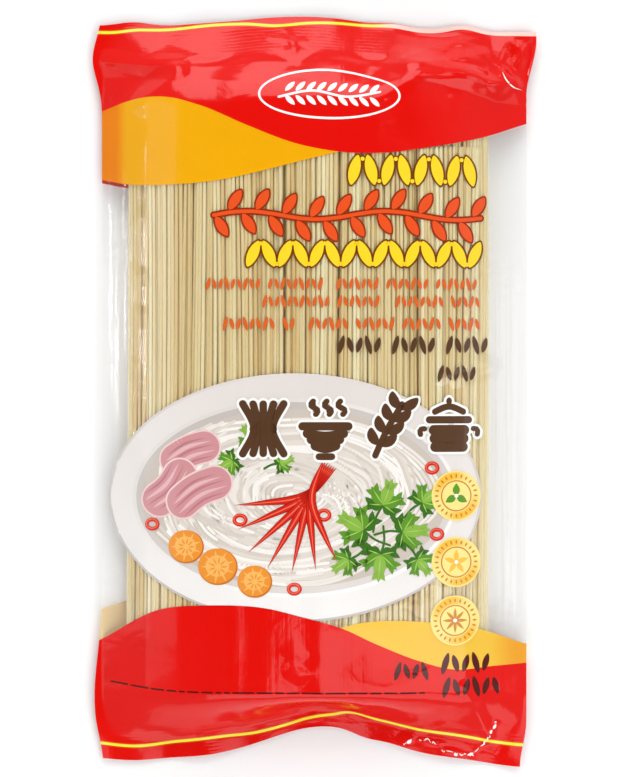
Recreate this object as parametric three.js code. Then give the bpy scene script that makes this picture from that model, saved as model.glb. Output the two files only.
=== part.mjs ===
// A sealed bag of straight dried rice vermicelli, lying on its back.
// The bag is a tube of thin film, welded flat at both ends round one long block of rice sticks.
// Millimetres. X runs across the bag, Y along it with the head end at +Y, and Z is up.

import * as THREE from "three";

// ---- Driving dimensions ----

// The film tube, between its two side creases and its two cut ends.
const bag = {
  leftCrease: -87.6,
  rightCrease: 87.8,
  halfLength: 152,
  creaseHeight: 4,
  doubleFilm: 0.8, // both films of a flat fin with the air between them
  flatUnder: 62, // the film lies flat on the table this far to each side
};

// The block of sticks, which lies nearer the left crease and tight against the foot end.
const block = {
  centreX: -2.5,
  halfWidth: 75,
  crown: 27,
  edgeHeight: 5,
  filmLeaves: 0.88, // share of the half width where the film lifts off the sticks
};

// How each end of the bag goes down from the block to its cut edge, where the bottom film comes up to meet
// the top one, and the line of the cut edge.
const head = {
  slopeFrom: 116,
  slopeTo: 156,
  rightSlopeFrom: 128, // the right of the head stays full for longer
  rightSlopeTo: 151,
  rightFrom: 22,
  rightTo: 46,
  meetFrom: 119,
  meetAt: 138,
  finMiddle: 3,
  finCorner: 3.2,
  edgeMiddle: 149.97,
  edgeTilt: -0.0149,
  arch: 5,
  archSpread: 38,
  archX: -5,
  shiftFrom: 95,
};
const foot = {
  slopeFrom: 122,
  slopeTo: 146,
  meetFrom: 122,
  meetAt: 146,
  finMiddle: 2.8,
  finCorner: 2.4,
  edgeMiddle: 153.2,
  edgeTilt: 0.0257,
  pull: 15,
  pullSpread: 35,
  pullX: 6,
  leanFrom: 97, // the block droops a little before its foot end
  leanTo: 126,
  lean: 2.2,
};

// Low waves along the two cut edges, as rises over the arch of the head and over the line of the foot.
const headWaves = [
  { x: -75, rise: 1.5, spread: 9 },
  { x: 33, rise: 1, spread: 8 },
  { x: 62, rise: 2.2, spread: 8 },
];
const footWaves = [
  { x: -76, rise: 1.3, spread: 14 },
  { x: 21, rise: 1.9, spread: 8 },
  { x: 60, rise: -1.7, spread: 15 },
];

// Ripples of both fins, which grow towards the cut edges.
const ripples = [
  { rise: 0.7, length: 47, phase: 1.1 },
  { rise: 0.45, length: 26, phase: 0 },
];

// Slack folds that run from the ends of the block towards the fins.
const slackFolds = [
  { y: 132, spread: 11, rise: 0.55, length: 33 },
  { y: -135, spread: 9, rise: 0.5, length: 28 },
];
const foldMargin = 20; // the folds die out this near a side crease
const edgeMargin = 6; // and every crease dies out this near an edge

// The sides: a round bulge and a flare at the head's two corners, and a swell near the foot, whose corners
// draw in again.
const leftBulge = { y: 138, reach: 3.9, spread: 12 };
const rightFlare = { from: 124, to: 149, reach: 4.2 };
const footSwell = { y: -126, reach: 3.1, spread: 24 };
const footTaper = { from: 134, to: 152, left: 1.2, right: 2.6 };

// Sharp creases where the loose film of the head folds over the block's corners.
// Each runs between two points, as a roof-shaped ridge (or a furrow, below zero).
const creases = [
  { from: [36, 136], to: [76, 126.5], width: 7, height: 1.7 },
  { from: [76, 126.5], to: [79, 147], width: 5, height: 1.5 },
  { from: [58, 138.5], to: [76, 129], width: 5, height: -1.3 },
  { from: [79, 131], to: [88, 125], width: 4, height: 1.4 },
  { from: [38, 134], to: [74, 149], width: 4, height: 0.8 },
  { from: [-86, 136], to: [-56, 133], width: 6, height: 1.3 },
  { from: [-56, 130], to: [-70, 118], width: 6, height: 1 },
  { from: [62, -121], to: [74, -146], width: 4, height: 1 },
  { from: [36, -146], to: [52, -133], width: 4, height: 0.9 },
  { from: [-30, -134], to: [20, -129], width: 4, height: 0.9 },
];

// Rice sticks that show as ridges through the clear film between the two printed ends.
const sticks = {
  pitch: 1.8,
  lowest: 0.15,
  highest: 0.75,
  gapEvery: 9,
  gapDepth: 0.8,
  windowFoot: -100,
  windowHead: 98,
  fade: 5,
  seed: 41,
};

// The grid of faces.
const grid = {
  endColumns: 56,
  backColumns: 22,
  marginColumns: 3,
  footRows: 15,
  windowRows: 10,
  headRows: 16,
  finRows: 6,
};

// ---- Small functions ----

const clamp = (value) => Math.min(1, Math.max(0, value));

const mix = (a, b, share) => a + (b - a) * share;

function smooth(value) {
  const t = clamp(value);
  return t * t * (3 - 2 * t);
}

// A slope from 0 to 1 that is straight apart from its two eased ends.
function ramp(value) {
  const ease = 0.2;
  const t = clamp(value);
  const bend = 2 * ease * (1 - ease);
  if (t < ease) {
    return (t * t) / bend;
  }
  return t > 1 - ease ? 1 - ((1 - t) * (1 - t)) / bend : (t - ease / 2) / (1 - ease);
}

function bell(value) {
  return Math.exp(-value * value);
}

function seeded(seed) {
  let state = seed;
  return () => {
    state = (state * 1664525 + 1013904223) % 4294967296;
    return state / 4294967296;
  };
}

// ---- Outline, seen from above ----

function drawnIn(along) {
  return smooth((-along - footTaper.from) / (footTaper.to - footTaper.from));
}

function leftSide(along) {
  const bulge = leftBulge.reach * bell((along - leftBulge.y) / leftBulge.spread);
  const swell = footSwell.reach * bell((along - footSwell.y) / footSwell.spread);
  return bag.leftCrease - bulge - swell + footTaper.left * drawnIn(along);
}

function rightSide(along) {
  const share = (along - rightFlare.from) / (rightFlare.to - rightFlare.from);
  return bag.rightCrease + rightFlare.reach * smooth(share) - footTaper.right * drawnIn(along);
}

function edgeWaves(waves, x) {
  return waves.reduce((sum, wave) => sum + wave.rise * bell((x - wave.x) / wave.spread), 0);
}

function headEdge(x) {
  const arch = head.arch * bell((x - head.archX) / head.archSpread);
  return head.edgeMiddle + head.edgeTilt * x + arch + edgeWaves(headWaves, x);
}

function footEdge(x) {
  const pull = foot.pull * bell((x - foot.pullX) / foot.pullSpread);
  return foot.edgeMiddle + foot.edgeTilt * x - pull + edgeWaves(footWaves, x);
}

// ---- How far each end has gone down from the block to its fin, 0 to 1 ----

function downHead(x, along) {
  const toRight = smooth((x - head.rightFrom) / (head.rightTo - head.rightFrom));
  const from = mix(head.slopeFrom, head.rightSlopeFrom, toRight);
  const to = mix(head.slopeTo, head.rightSlopeTo, toRight);
  return ramp((along - from) / (to - from));
}

function downFoot(along) {
  return smooth((-along - foot.slopeFrom) / (foot.slopeTo - foot.slopeFrom));
}

// A place on the flat film, across from -1 to 1 and along in millimetres, as it lies on the filled bag.
function plan(across, along) {
  const x = mix(leftSide(along), rightSide(along), (across + 1) / 2);
  const headShare = smooth((along - head.shiftFrom) / (bag.halfLength - head.shiftFrom));
  const headShift = (headEdge(x) - bag.halfLength) * headShare;
  const footShift = (bag.halfLength - footEdge(x)) * downFoot(along);
  return [x, along + headShift + footShift];
}

// ---- Heights ----

// The film over the block, across the bag: a flat crown, round shoulders, then straight to the crease.
function overBlock(x) {
  const offset = x - block.centreX;
  const leave = block.filmLeaves * block.halfWidth;
  const crown = (distance) => {
    const round = Math.sqrt(1 - Math.pow(distance / block.halfWidth, 3));
    return block.edgeHeight + (block.crown - block.edgeHeight) * round;
  };
  if (Math.abs(offset) <= leave) {
    return crown(Math.abs(offset));
  }
  const crease = offset > 0 ? bag.rightCrease : -bag.leftCrease;
  const span = crease - Math.abs(block.centreX + Math.sign(offset) * leave);
  return mix(crown(leave), bag.creaseHeight, clamp((Math.abs(offset) - leave) / span));
}

// The film under the block: flat on the table, rising to the side creases.
function underBlock(x) {
  const rise = clamp((Math.abs(x) - bag.flatUnder) / (bag.rightCrease - bag.flatUnder));
  return (bag.creaseHeight - bag.doubleFilm) * rise * rise;
}

function wave(parts, x) {
  const rise = (part) => part.rise * Math.sin((2 * Math.PI * x) / part.length + part.phase);
  return parts.reduce((sum, part) => sum + rise(part), 0);
}

function finTop(x, along) {
  const end = along > 0 ? head : foot;
  const toCorner = smooth(Math.abs(x) / bag.rightCrease);
  const flat = mix(end.finMiddle, end.finCorner, toCorner);
  const towardsCut = clamp((Math.abs(along) - end.slopeFrom) / (bag.halfLength - end.slopeFrom));
  return flat + wave(ripples, x) * towardsCut * towardsCut;
}

function creaseHeight(x, y) {
  return creases.reduce((sum, crease) => {
    const [x0, y0] = crease.from;
    const dx = crease.to[0] - x0;
    const dy = crease.to[1] - y0;
    const share = clamp(((x - x0) * dx + (y - y0) * dy) / (dx * dx + dy * dy));
    const away = Math.hypot(x - x0 - share * dx, y - y0 - share * dy);
    return sum + crease.height * Math.max(0, 1 - away / crease.width);
  }, 0);
}

function folds(x, along) {
  const rise = (fold) => {
    const across = Math.sin((2 * Math.PI * x) / fold.length);
    return fold.rise * across * bell((along - fold.y) / fold.spread);
  };
  const height = slackFolds.reduce((sum, fold) => sum + rise(fold), 0);
  return height * smooth((bag.rightCrease - Math.abs(x)) / foldMargin);
}

// The film over the block, drooping towards the foot by most in the middle and not at all at the creases.
function overDroopingBlock(x, along) {
  const height = overBlock(x);
  const droop = foot.lean * ramp((-along - foot.leanFrom) / (foot.leanTo - foot.leanFrom));
  return height - (droop * (height - bag.creaseHeight)) / (block.crown - bag.creaseHeight);
}

function topFilm(x, along) {
  return mix(overDroopingBlock(x, along), finTop(x, along), Math.max(downHead(x, along), downFoot(along)));
}

function bottomHeight(x, along) {
  const end = along > 0 ? head : foot;
  const together = smooth((Math.abs(along) - end.meetFrom) / (end.meetAt - end.meetFrom));
  return mix(underBlock(x), topFilm(x, along) - bag.doubleFilm, together);
}

function topHeight(x, y, along) {
  const film = topFilm(x, along);
  const toCrease = Math.min(x - leftSide(along), rightSide(along) - x);
  const toCut = Math.min(headEdge(x) - y, y + footEdge(x));
  const inside = smooth(toCrease / edgeMargin) * smooth(toCut / edgeMargin);
  const relief = (folds(x, along) + creaseHeight(x, y)) * inside;
  return Math.max(film + relief, bottomHeight(x, along) + bag.doubleFilm);
}

// ---- Rows of points ----

// One random draw for each stick gives its height, and each wide gap between bunches of sticks.
function stickHeights() {
  const random = seeded(sticks.seed);
  const count = Math.round((2 * block.halfWidth) / sticks.pitch);
  const heights = [];
  for (let stick = 0; stick < count; stick += 1) {
    const gap = random() < 1 / sticks.gapEvery;
    heights.push(gap ? -sticks.gapDepth : 0);
    heights.push(mix(sticks.lowest, sticks.highest, random()));
  }
  heights.push(0);
  return heights;
}

function evenColumns(count) {
  return Array.from({ length: count + 1 }, (_, column) => ({ across: (2 * column) / count - 1, relief: 0 }));
}

// Columns of the window: a few on each clear margin, then two for each stick.
function stickColumns() {
  const width = bag.rightCrease - bag.leftCrease;
  const acrossAt = (x) => (2 * (x - bag.leftCrease)) / width - 1;
  const first = block.centreX - block.halfWidth;
  const last = block.centreX + block.halfWidth;
  const heights = stickHeights();
  const columns = [];
  for (let column = 0; column < grid.marginColumns; column += 1) {
    columns.push({ across: acrossAt(mix(bag.leftCrease, first, column / grid.marginColumns)), relief: 0 });
  }
  heights.forEach((relief, index) => {
    columns.push({ across: acrossAt(mix(first, last, index / (heights.length - 1))), relief });
  });
  for (let column = 1; column <= grid.marginColumns; column += 1) {
    columns.push({ across: acrossAt(mix(last, bag.rightCrease, column / grid.marginColumns)), relief: 0 });
  }
  return columns;
}

// Places along the bag: the foot end, the window with its sticks, and the head end.
function alongPlaces() {
  const places = [];
  for (let row = 0; row < grid.footRows; row += 1) {
    places.push(mix(-bag.halfLength, sticks.windowFoot, row / grid.footRows));
  }
  for (let row = 0; row < grid.windowRows; row += 1) {
    places.push(mix(sticks.windowFoot, sticks.windowHead, row / grid.windowRows));
  }
  for (let row = 0; row <= grid.headRows; row += 1) {
    places.push(mix(sticks.windowHead, bag.halfLength, row / grid.headRows));
  }
  return places;
}

function topRows(places) {
  const ends = evenColumns(grid.endColumns);
  const window = stickColumns();
  return places.map((along) => {
    const inWindow = along > sticks.windowFoot + 1 && along < sticks.windowHead - 1;
    const fadeIn = smooth((along - sticks.windowFoot) / sticks.fade);
    const fadeOut = smooth((sticks.windowHead - along) / sticks.fade);
    return (inWindow ? window : ends).map((column) => {
      const [x, y] = plan(column.across, along);
      return [x, y, topHeight(x, y, along) + column.relief * fadeIn * fadeOut];
    });
  });
}

function bottomRows(places) {
  const fine = evenColumns(grid.endColumns);
  const coarse = evenColumns(grid.backColumns);
  return places.map((along, row) => {
    const nearCut = Math.min(row, places.length - 1 - row) < grid.finRows;
    return (nearCut ? fine : coarse).map((column) => {
      const [x, y] = plan(column.across, along);
      return [x, y, bottomHeight(x, along)];
    });
  });
}

// ---- One closed body ----

// Faces of an upright wall between two lines of points, matched one to one.
function wall(lower, upper) {
  const faces = [];
  for (let point = 1; point < lower.length; point += 1) {
    faces.push([lower[point - 1], lower[point], upper[point - 1]]);
    faces.push([lower[point], upper[point], upper[point - 1]]);
  }
  return faces;
}

// Faces between two rows, however many points each has, matched by where they lie across the bag.
function zip(below, above) {
  const faces = [];
  let i = 0;
  let j = 0;
  while (i < below.length - 1 || j < above.length - 1) {
    const nextBelow = i < below.length - 1 ? below[i + 1][0] : Infinity;
    const nextAbove = j < above.length - 1 ? above[j + 1][0] : Infinity;
    if (nextBelow <= nextAbove) {
      faces.push([below[i], below[i + 1], above[j]]);
      i += 1;
    } else {
      faces.push([below[i], above[j + 1], above[j]]);
      j += 1;
    }
  }
  return faces;
}

function sheet(rows) {
  return rows.slice(1).flatMap((above, row) => zip(rows[row], above));
}

const turned = (faces) => faces.map(([a, b, c]) => [a, c, b]);

function packGeometry() {
  const places = alongPlaces();
  const top = topRows(places);
  const bottom = bottomRows(places);
  const lastColumn = (rows) => rows.map((row) => row.at(-1));
  const firstColumn = (rows) => rows.map((row) => row[0]);
  const walls = [
    ...wall(bottom[0], top[0]),
    ...wall(lastColumn(bottom), lastColumn(top)),
    ...turned(wall(bottom.at(-1), top.at(-1))),
    ...turned(wall(firstColumn(bottom), firstColumn(top))),
  ];
  const faces = [...sheet(top), ...turned(sheet(bottom)), ...walls];
  const geometry = new THREE.BufferGeometry();
  geometry.setAttribute("position", new THREE.Float32BufferAttribute(faces.flat(2), 3));
  geometry.computeVertexNormals();
  return geometry;
}

// The origin is under the middle of the bag, on the table.
function centre(geometry) {
  geometry.computeBoundingBox();
  const { min, max } = geometry.boundingBox;
  return new THREE.Vector3(-(min.x + max.x) / 2, -(min.y + max.y) / 2, -min.z);
}

function vermicelliPack() {
  const material = new THREE.MeshStandardMaterial({ color: 0xd6c28f, roughness: 0.35, metalness: 0 });
  const mesh = new THREE.Mesh(packGeometry(), material);
  mesh.name = "vermicelli_pack";
  mesh.position.copy(centre(mesh.geometry));
  return mesh;
}

const group = new THREE.Group();
group.add(vermicelliPack());

export default group;
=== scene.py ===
"""Dresses a sealed bag of straight dried rice vermicelli: rice sticks, film, print and stage.

Shapes are worked out in millimetres on the bag's own axes, X across, Y along and Z up, and turned into
Blender's metres when a mesh is made. A place on the film is given as x and along: along is the distance
from the middle of the bag before its ends are gathered, so that the print follows the film.
"""

import math
from types import SimpleNamespace as Sizes

import bmesh
import bpy
import numpy as np
from bpy.props import FloatProperty, FloatVectorProperty, IntProperty, PointerProperty
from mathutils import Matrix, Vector


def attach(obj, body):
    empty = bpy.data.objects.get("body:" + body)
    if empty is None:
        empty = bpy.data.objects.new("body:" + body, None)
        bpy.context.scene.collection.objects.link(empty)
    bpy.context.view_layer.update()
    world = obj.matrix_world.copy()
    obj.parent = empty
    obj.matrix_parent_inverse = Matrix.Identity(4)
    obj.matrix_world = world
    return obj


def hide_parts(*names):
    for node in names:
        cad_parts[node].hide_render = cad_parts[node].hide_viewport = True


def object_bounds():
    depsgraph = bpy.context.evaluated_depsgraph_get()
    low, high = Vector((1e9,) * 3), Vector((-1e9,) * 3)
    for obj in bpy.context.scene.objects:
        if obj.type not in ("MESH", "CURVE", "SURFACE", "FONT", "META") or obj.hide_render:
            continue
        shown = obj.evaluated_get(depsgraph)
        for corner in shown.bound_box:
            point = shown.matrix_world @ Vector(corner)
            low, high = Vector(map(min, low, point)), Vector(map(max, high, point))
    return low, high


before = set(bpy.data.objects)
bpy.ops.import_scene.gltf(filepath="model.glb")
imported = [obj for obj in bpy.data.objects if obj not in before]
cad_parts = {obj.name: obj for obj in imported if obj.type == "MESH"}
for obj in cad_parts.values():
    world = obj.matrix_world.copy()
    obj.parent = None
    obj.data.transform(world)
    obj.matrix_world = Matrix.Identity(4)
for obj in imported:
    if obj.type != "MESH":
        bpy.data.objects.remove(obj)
CAD_BOX = [list(corner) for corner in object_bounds()]

bl_info = {
    "name": "Rice Vermicelli Bag",
    "version": (1, 0, 0),
    "blender": (4, 5, 0),
    "location": "View3D > Sidebar > Vermicelli",
    "description": "Dresses a sealed bag of straight dried rice vermicelli",
    "category": "Object",
}

MM = 0.001
NODE = "vermicelli_pack"
BODY = "root"

# ---- Sizes of the bag, the same as the solid's ----

BAG = Sizes(left=-87.6, right=87.8, half_length=152.0, crease=4.0, fin=0.8, flat_under=62.0)
BLOCK = Sizes(centre=-2.5, half_width=75.0, crown=27.0, edge=5.0, film_leaves=0.88, head=125.0, foot=-126.0)
HEAD = Sizes(slope_from=116.0, slope_to=156.0, right_slope_from=128.0, right_slope_to=151.0,
             right_from=22.0, right_to=46.0, meet_from=119.0, meet_at=138.0, middle=3.0, corner=3.2,
             edge=149.97, tilt=-0.0149, arch=5.0, spread=38.0, arch_x=-5.0, shift_from=95.0)
FOOT = Sizes(slope_from=122.0, slope_to=146.0, meet_from=122.0, meet_at=146.0, middle=2.8, corner=2.4,
             edge=153.2, tilt=0.0257, pull=15.0, spread=35.0, pull_x=6.0, lean_from=97.0, lean_to=126.0,
             lean=2.2)
HEAD_WAVES = ((-75, 1.5, 9), (33, 1.0, 8), (62, 2.2, 8))  # x, rise, spread
FOOT_WAVES = ((-76, 1.3, 14), (21, 1.9, 8), (60, -1.7, 15))
RIPPLES = ((0.7, 47, 1.1), (0.45, 26, 0.0))  # rise, length, phase
SLACK_FOLDS = ((132, 11, 0.55, 33), (-135, 9, 0.5, 28))  # along, spread, rise, length
LEFT_BULGE = Sizes(along=138.0, reach=3.9, spread=12.0)
RIGHT_FLARE = Sizes(start=124.0, end=149.0, reach=4.2)
FOOT_SWELL = Sizes(along=-126.0, reach=3.1, spread=24.0)
FOOT_TAPER = Sizes(start=134.0, end=152.0, left=1.2, right=2.6)
FOLD_MARGIN = 20.0
EDGE_MARGIN = 6.0

# Sharp creases of the slack film: from x, y, to x, y, width and height (below zero for a furrow).
CREASES = (
    (36, 136, 76, 126.5, 7, 1.7),
    (76, 126.5, 79, 147, 5, 1.5),
    (58, 138.5, 76, 129, 5, -1.3),
    (79, 131, 88, 125, 4, 1.4),
    (38, 134, 74, 149, 4, 0.8),
    (-86, 136, -56, 133, 6, 1.3),
    (-56, 130, -70, 118, 6, 1.0),
    (62, -121, 74, -146, 4, 1.0),
    (36, -146, 52, -133, 4, 0.9),
    (-30, -134, 20, -129, 4, 0.9),
)

# ---- Small functions ----


def smooth(value):
    t = np.clip(value, 0.0, 1.0)
    return t * t * (3.0 - 2.0 * t)


def ramp(value):
    """A slope from 0 to 1 that is straight apart from its two eased ends."""
    ease = 0.2
    t = np.clip(value, 0.0, 1.0)
    bend = 2 * ease * (1 - ease)
    return np.select([t < ease, t > 1 - ease], [t * t / bend, 1 - (1 - t) ** 2 / bend],
                     (t - ease / 2) / (1 - ease))


def bell(value):
    return np.exp(-np.square(value))


def mix(a, b, share):
    return a + (b - a) * share


def waves(x, table, base=0.0):
    """A base and waves over it. Each wave has a rise, a length and a phase."""
    return sum((rise * np.sin(x / length + phase) for rise, length, phase in table), base)


def run_lengths(points):
    """How far along a line each of its points lies."""
    return np.concatenate([[0.0], np.cumsum(np.hypot(*np.diff(points, axis=0).T))])


def points_at(points, lengths, at):
    """The places on a line at some lengths along it."""
    return np.stack([np.interp(at, lengths, axis) for axis in points.T], axis=-1)


def smooth_line(points, count=12):
    """Many points on a smooth line through a few."""
    few = np.array(points, float)
    knots = run_lengths(few)
    slope = np.gradient(few, knots, axis=0)
    at = np.linspace(0, knots[-1], (len(few) - 1) * count + 1)
    i = np.clip(np.searchsorted(knots, at) - 1, 0, len(few) - 2)
    step = (knots[i + 1] - knots[i])[:, None]
    t = (at - knots[i])[:, None] / step
    low = (1 + 2 * t) * (1 - t) ** 2 * few[i] + t * (1 - t) ** 2 * step * slope[i]
    return low + t * t * (3 - 2 * t) * few[i + 1] + t * t * (t - 1) * step * slope[i + 1]


def through(points, x):
    """The height of the smooth line through the points, read at x."""
    return np.interp(x, *smooth_line(points).T)


def linear(red, green, blue):
    """A colour of 0 to 255, as seen on a screen, in Blender's linear values."""
    def channel(value):
        share = value / 255
        return share / 12.92 if share <= 0.04045 else ((share + 0.055) / 1.055) ** 2.4
    return channel(red), channel(green), channel(blue)


# ---- Outline and heights of the bag ----


def drawn_in(along):
    return smooth((-along - FOOT_TAPER.start) / (FOOT_TAPER.end - FOOT_TAPER.start))


def left_side(along):
    bulge = LEFT_BULGE.reach * bell((along - LEFT_BULGE.along) / LEFT_BULGE.spread)
    swell = FOOT_SWELL.reach * bell((along - FOOT_SWELL.along) / FOOT_SWELL.spread)
    return BAG.left - bulge - swell + FOOT_TAPER.left * drawn_in(along)


def right_side(along):
    share = (along - RIGHT_FLARE.start) / (RIGHT_FLARE.end - RIGHT_FLARE.start)
    return BAG.right + RIGHT_FLARE.reach * smooth(share) - FOOT_TAPER.right * drawn_in(along)


def edge_waves(waves, x):
    return sum(rise * bell((x - at) / spread) for at, rise, spread in waves)


def head_edge(x):
    arch = HEAD.arch * bell((x - HEAD.arch_x) / HEAD.spread)
    return HEAD.edge + HEAD.tilt * x + arch + edge_waves(HEAD_WAVES, x)


def foot_edge(x):
    pull = FOOT.pull * bell((x - FOOT.pull_x) / FOOT.spread)
    return FOOT.edge + FOOT.tilt * x - pull + edge_waves(FOOT_WAVES, x)


def down_head(x, along):
    to_right = smooth((x - HEAD.right_from) / (HEAD.right_to - HEAD.right_from))
    start = mix(HEAD.slope_from, HEAD.right_slope_from, to_right)
    end = mix(HEAD.slope_to, HEAD.right_slope_to, to_right)
    return ramp((along - start) / (end - start))


def down_foot(along):
    return smooth((-along - FOOT.slope_from) / (FOOT.slope_to - FOOT.slope_from))


def down(x, along):
    """1 where the film has come all the way down over either end of the block."""
    return np.maximum(down_head(x, along), down_foot(along))


def lies_at(x, along):
    """Where a place on the film lies along Y."""
    head_share = smooth((along - HEAD.shift_from) / (BAG.half_length - HEAD.shift_from))
    head_shift = (head_edge(x) - BAG.half_length) * head_share
    return along + head_shift + (BAG.half_length - foot_edge(x)) * down_foot(along)


def block_top(distance):
    share = np.clip(distance / BLOCK.half_width, 0.0, 1.0)
    return BLOCK.edge + (BLOCK.crown - BLOCK.edge) * np.sqrt(1.0 - share ** 3)


def over_block(x):
    """The film over the sticks: a flat crown, round shoulders, then straight to the crease."""
    offset = x - BLOCK.centre
    leave = BLOCK.film_leaves * BLOCK.half_width
    crease = np.where(offset > 0, BAG.right, -BAG.left)
    span = crease - np.abs(BLOCK.centre + np.sign(offset) * leave)
    tent = mix(block_top(leave), BAG.crease, np.clip((np.abs(offset) - leave) / span, 0.0, 1.0))
    return np.where(np.abs(offset) <= leave, block_top(np.abs(offset)), tent)


def over_drooping_block(x, along):
    """The film over the block, drooping towards the foot by most in the middle and not at the creases."""
    height = over_block(x)
    droop = FOOT.lean * ramp((-along - FOOT.lean_from) / (FOOT.lean_to - FOOT.lean_from))
    return height - droop * (height - BAG.crease) / (BLOCK.crown - BAG.crease)


def under_block(x):
    rise = np.clip((np.abs(x) - BAG.flat_under) / (BAG.right - BAG.flat_under), 0.0, 1.0)
    return (BAG.crease - BAG.fin) * rise * rise


def at_end(name, along):
    return np.where(along > 0, getattr(HEAD, name), getattr(FOOT, name))


def film_top(x, along):
    start = at_end("slope_from", along)
    towards_cut = np.clip((np.abs(along) - start) / (BAG.half_length - start), 0.0, 1.0)
    ripple = sum(rise * np.sin(2 * np.pi * x / length + phase) for rise, length, phase in RIPPLES)
    flat = mix(at_end("middle", along), at_end("corner", along), smooth(np.abs(x) / BAG.right))
    return mix(over_drooping_block(x, along), flat + ripple * towards_cut ** 2, down(x, along))


def solid_bottom(x, along):
    start = at_end("meet_from", along)
    together = smooth((np.abs(along) - start) / (at_end("meet_at", along) - start))
    return mix(under_block(x), film_top(x, along) - BAG.fin, together)


def crease_height(x, y, creases):
    total = np.zeros_like(x)
    for x0, y0, x1, y1, width, height in creases:
        dx, dy = x1 - x0, y1 - y0
        share = np.clip(((x - x0) * dx + (y - y0) * dy) / (dx * dx + dy * dy), 0.0, 1.0)
        away = np.hypot(x - x0 - share * dx, y - y0 - share * dy)
        total += height * np.maximum(0.0, 1.0 - away / width)
    return total


def folds(x, along):
    height = sum(rise * np.sin(2 * np.pi * x / length) * bell((along - at) / spread)
                 for at, spread, rise, length in SLACK_FOLDS)
    return height * smooth((BAG.right - np.abs(x)) / FOLD_MARGIN)


def inside(x, y, along):
    """1 on most of the film, and 0 at its edges."""
    to_crease = np.minimum(x - left_side(along), right_side(along) - x)
    to_cut = np.minimum(head_edge(x) - y, y + foot_edge(x))
    return smooth(to_crease / EDGE_MARGIN) * smooth(to_cut / EDGE_MARGIN)


def solid_top(x, y, along):
    relief = (folds(x, along) + crease_height(x, y, CREASES)) * inside(x, y, along)
    return np.maximum(film_top(x, along) + relief, solid_bottom(x, along) + BAG.fin)


# ---- Fine relief of the film ----

STICKS = Sizes(radius=0.79, pitch=1.64, layer=1.2, under_film=0.08, under_slack=0.2, seed=7, kept=0.93,
               top_inset=1.2, layer_inset=1.6, samples=2000)
UNEVEN = Sizes(place=0.16, depth=0.16, end=0.8, thinnest=0.84, thickest=1.12, lean=0.4, bow=0.3, radius=0.03,
               tone=0.16)
FILM = Sizes(inset=0.32, weld_gap=0.16, off_table=0.06, stick=0.045, over_gap=0.2, bunch=0.24, crumple=0.42,
             pleat=0.1, pleat_fade=3.0, edge=8.0, close=3.0, closed_crumple=0.5, ends_from=84.0,
             ends_fade=12.0, end_stick=0.6, end_pleat=0.85)
PLEATS = Sizes(fine=1.9, broad=0.8, slant=40.0)
# How the bunches of sticks rise and fall across the block: the rise, length and phase of each wave.
BUNCH_WAVES = ((0.5, 3.1, 0.4), (0.3, 5.3, 2.0), (0.2, 1.9, 0.0))


def places_across(pitch, inset, random):
    """Places across the block, a pitch apart along its curved top and a little uneven."""
    edge = BLOCK.half_width - inset
    x = np.linspace(-edge, edge, STICKS.samples)
    rise = np.gradient(block_top(np.abs(x)), x)
    length = np.concatenate([[0.0], np.cumsum(np.hypot(1.0, rise[1:]) * np.diff(x))])
    count = int(length[-1] / pitch)
    shift = random.uniform(-UNEVEN.place, UNEVEN.place, count) * pitch
    wanted = (np.arange(count) + 0.5) * length[-1] / count + shift
    return BLOCK.centre + np.interp(wanted, length, x)


def top_stick_places():
    random = np.random.default_rng(STICKS.seed)
    places = places_across(STICKS.pitch, STICKS.top_inset, random)
    return places, random.random(len(places)) < STICKS.kept


TOP_PLACES, TOP_KEPT = top_stick_places()


def on_block(x):
    """1 over the block, and 0 at its side edges."""
    return smooth((BLOCK.half_width - np.abs(x - BLOCK.centre)) / FILM.edge)


def stick_relief(x):
    """The film drawn lightly over each stick."""
    between = (TOP_PLACES[1:] + TOP_PLACES[:-1]) / 2
    knots = np.sort(np.concatenate([TOP_PLACES, between]))
    values = np.zeros(len(knots))
    values[::2] = np.where(TOP_KEPT, 1.0, FILM.over_gap)
    return FILM.stick * np.interp(x, knots, values, 0.0, 0.0)


# Fine wrinkles of the front film alone, written as the creases are.
WRINKLES = (
    (37, -146, 40.5, -143.6, 1.5, 0.5),
    (43.6, -143.8, 50.6, -146, 1.5, 0.5),
    (52.7, -148, 66.3, -151, 1.6, 0.6),
    (70.5, -146, 75.4, -136.4, 1.6, 0.6),
    (64.7, -150.9, 70.9, -144.6, 1.4, 0.4),
    (-45, -141, 0, -136, 4, 0.8),
    (0, -136, 22, -132.5, 4, 0.8),
    (-12, 150, -8, 141, 2.2, 0.5),
    (-18, 146, -4, 143.5, 2.0, 0.4),
    (52, 5.5, 62, 12, 2.4, 0.5),
    (57, 4.5, 74, 8.5, 2.6, 0.6),
    (66, 13.5, 76, 10.5, 2.4, 0.5),
)

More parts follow.
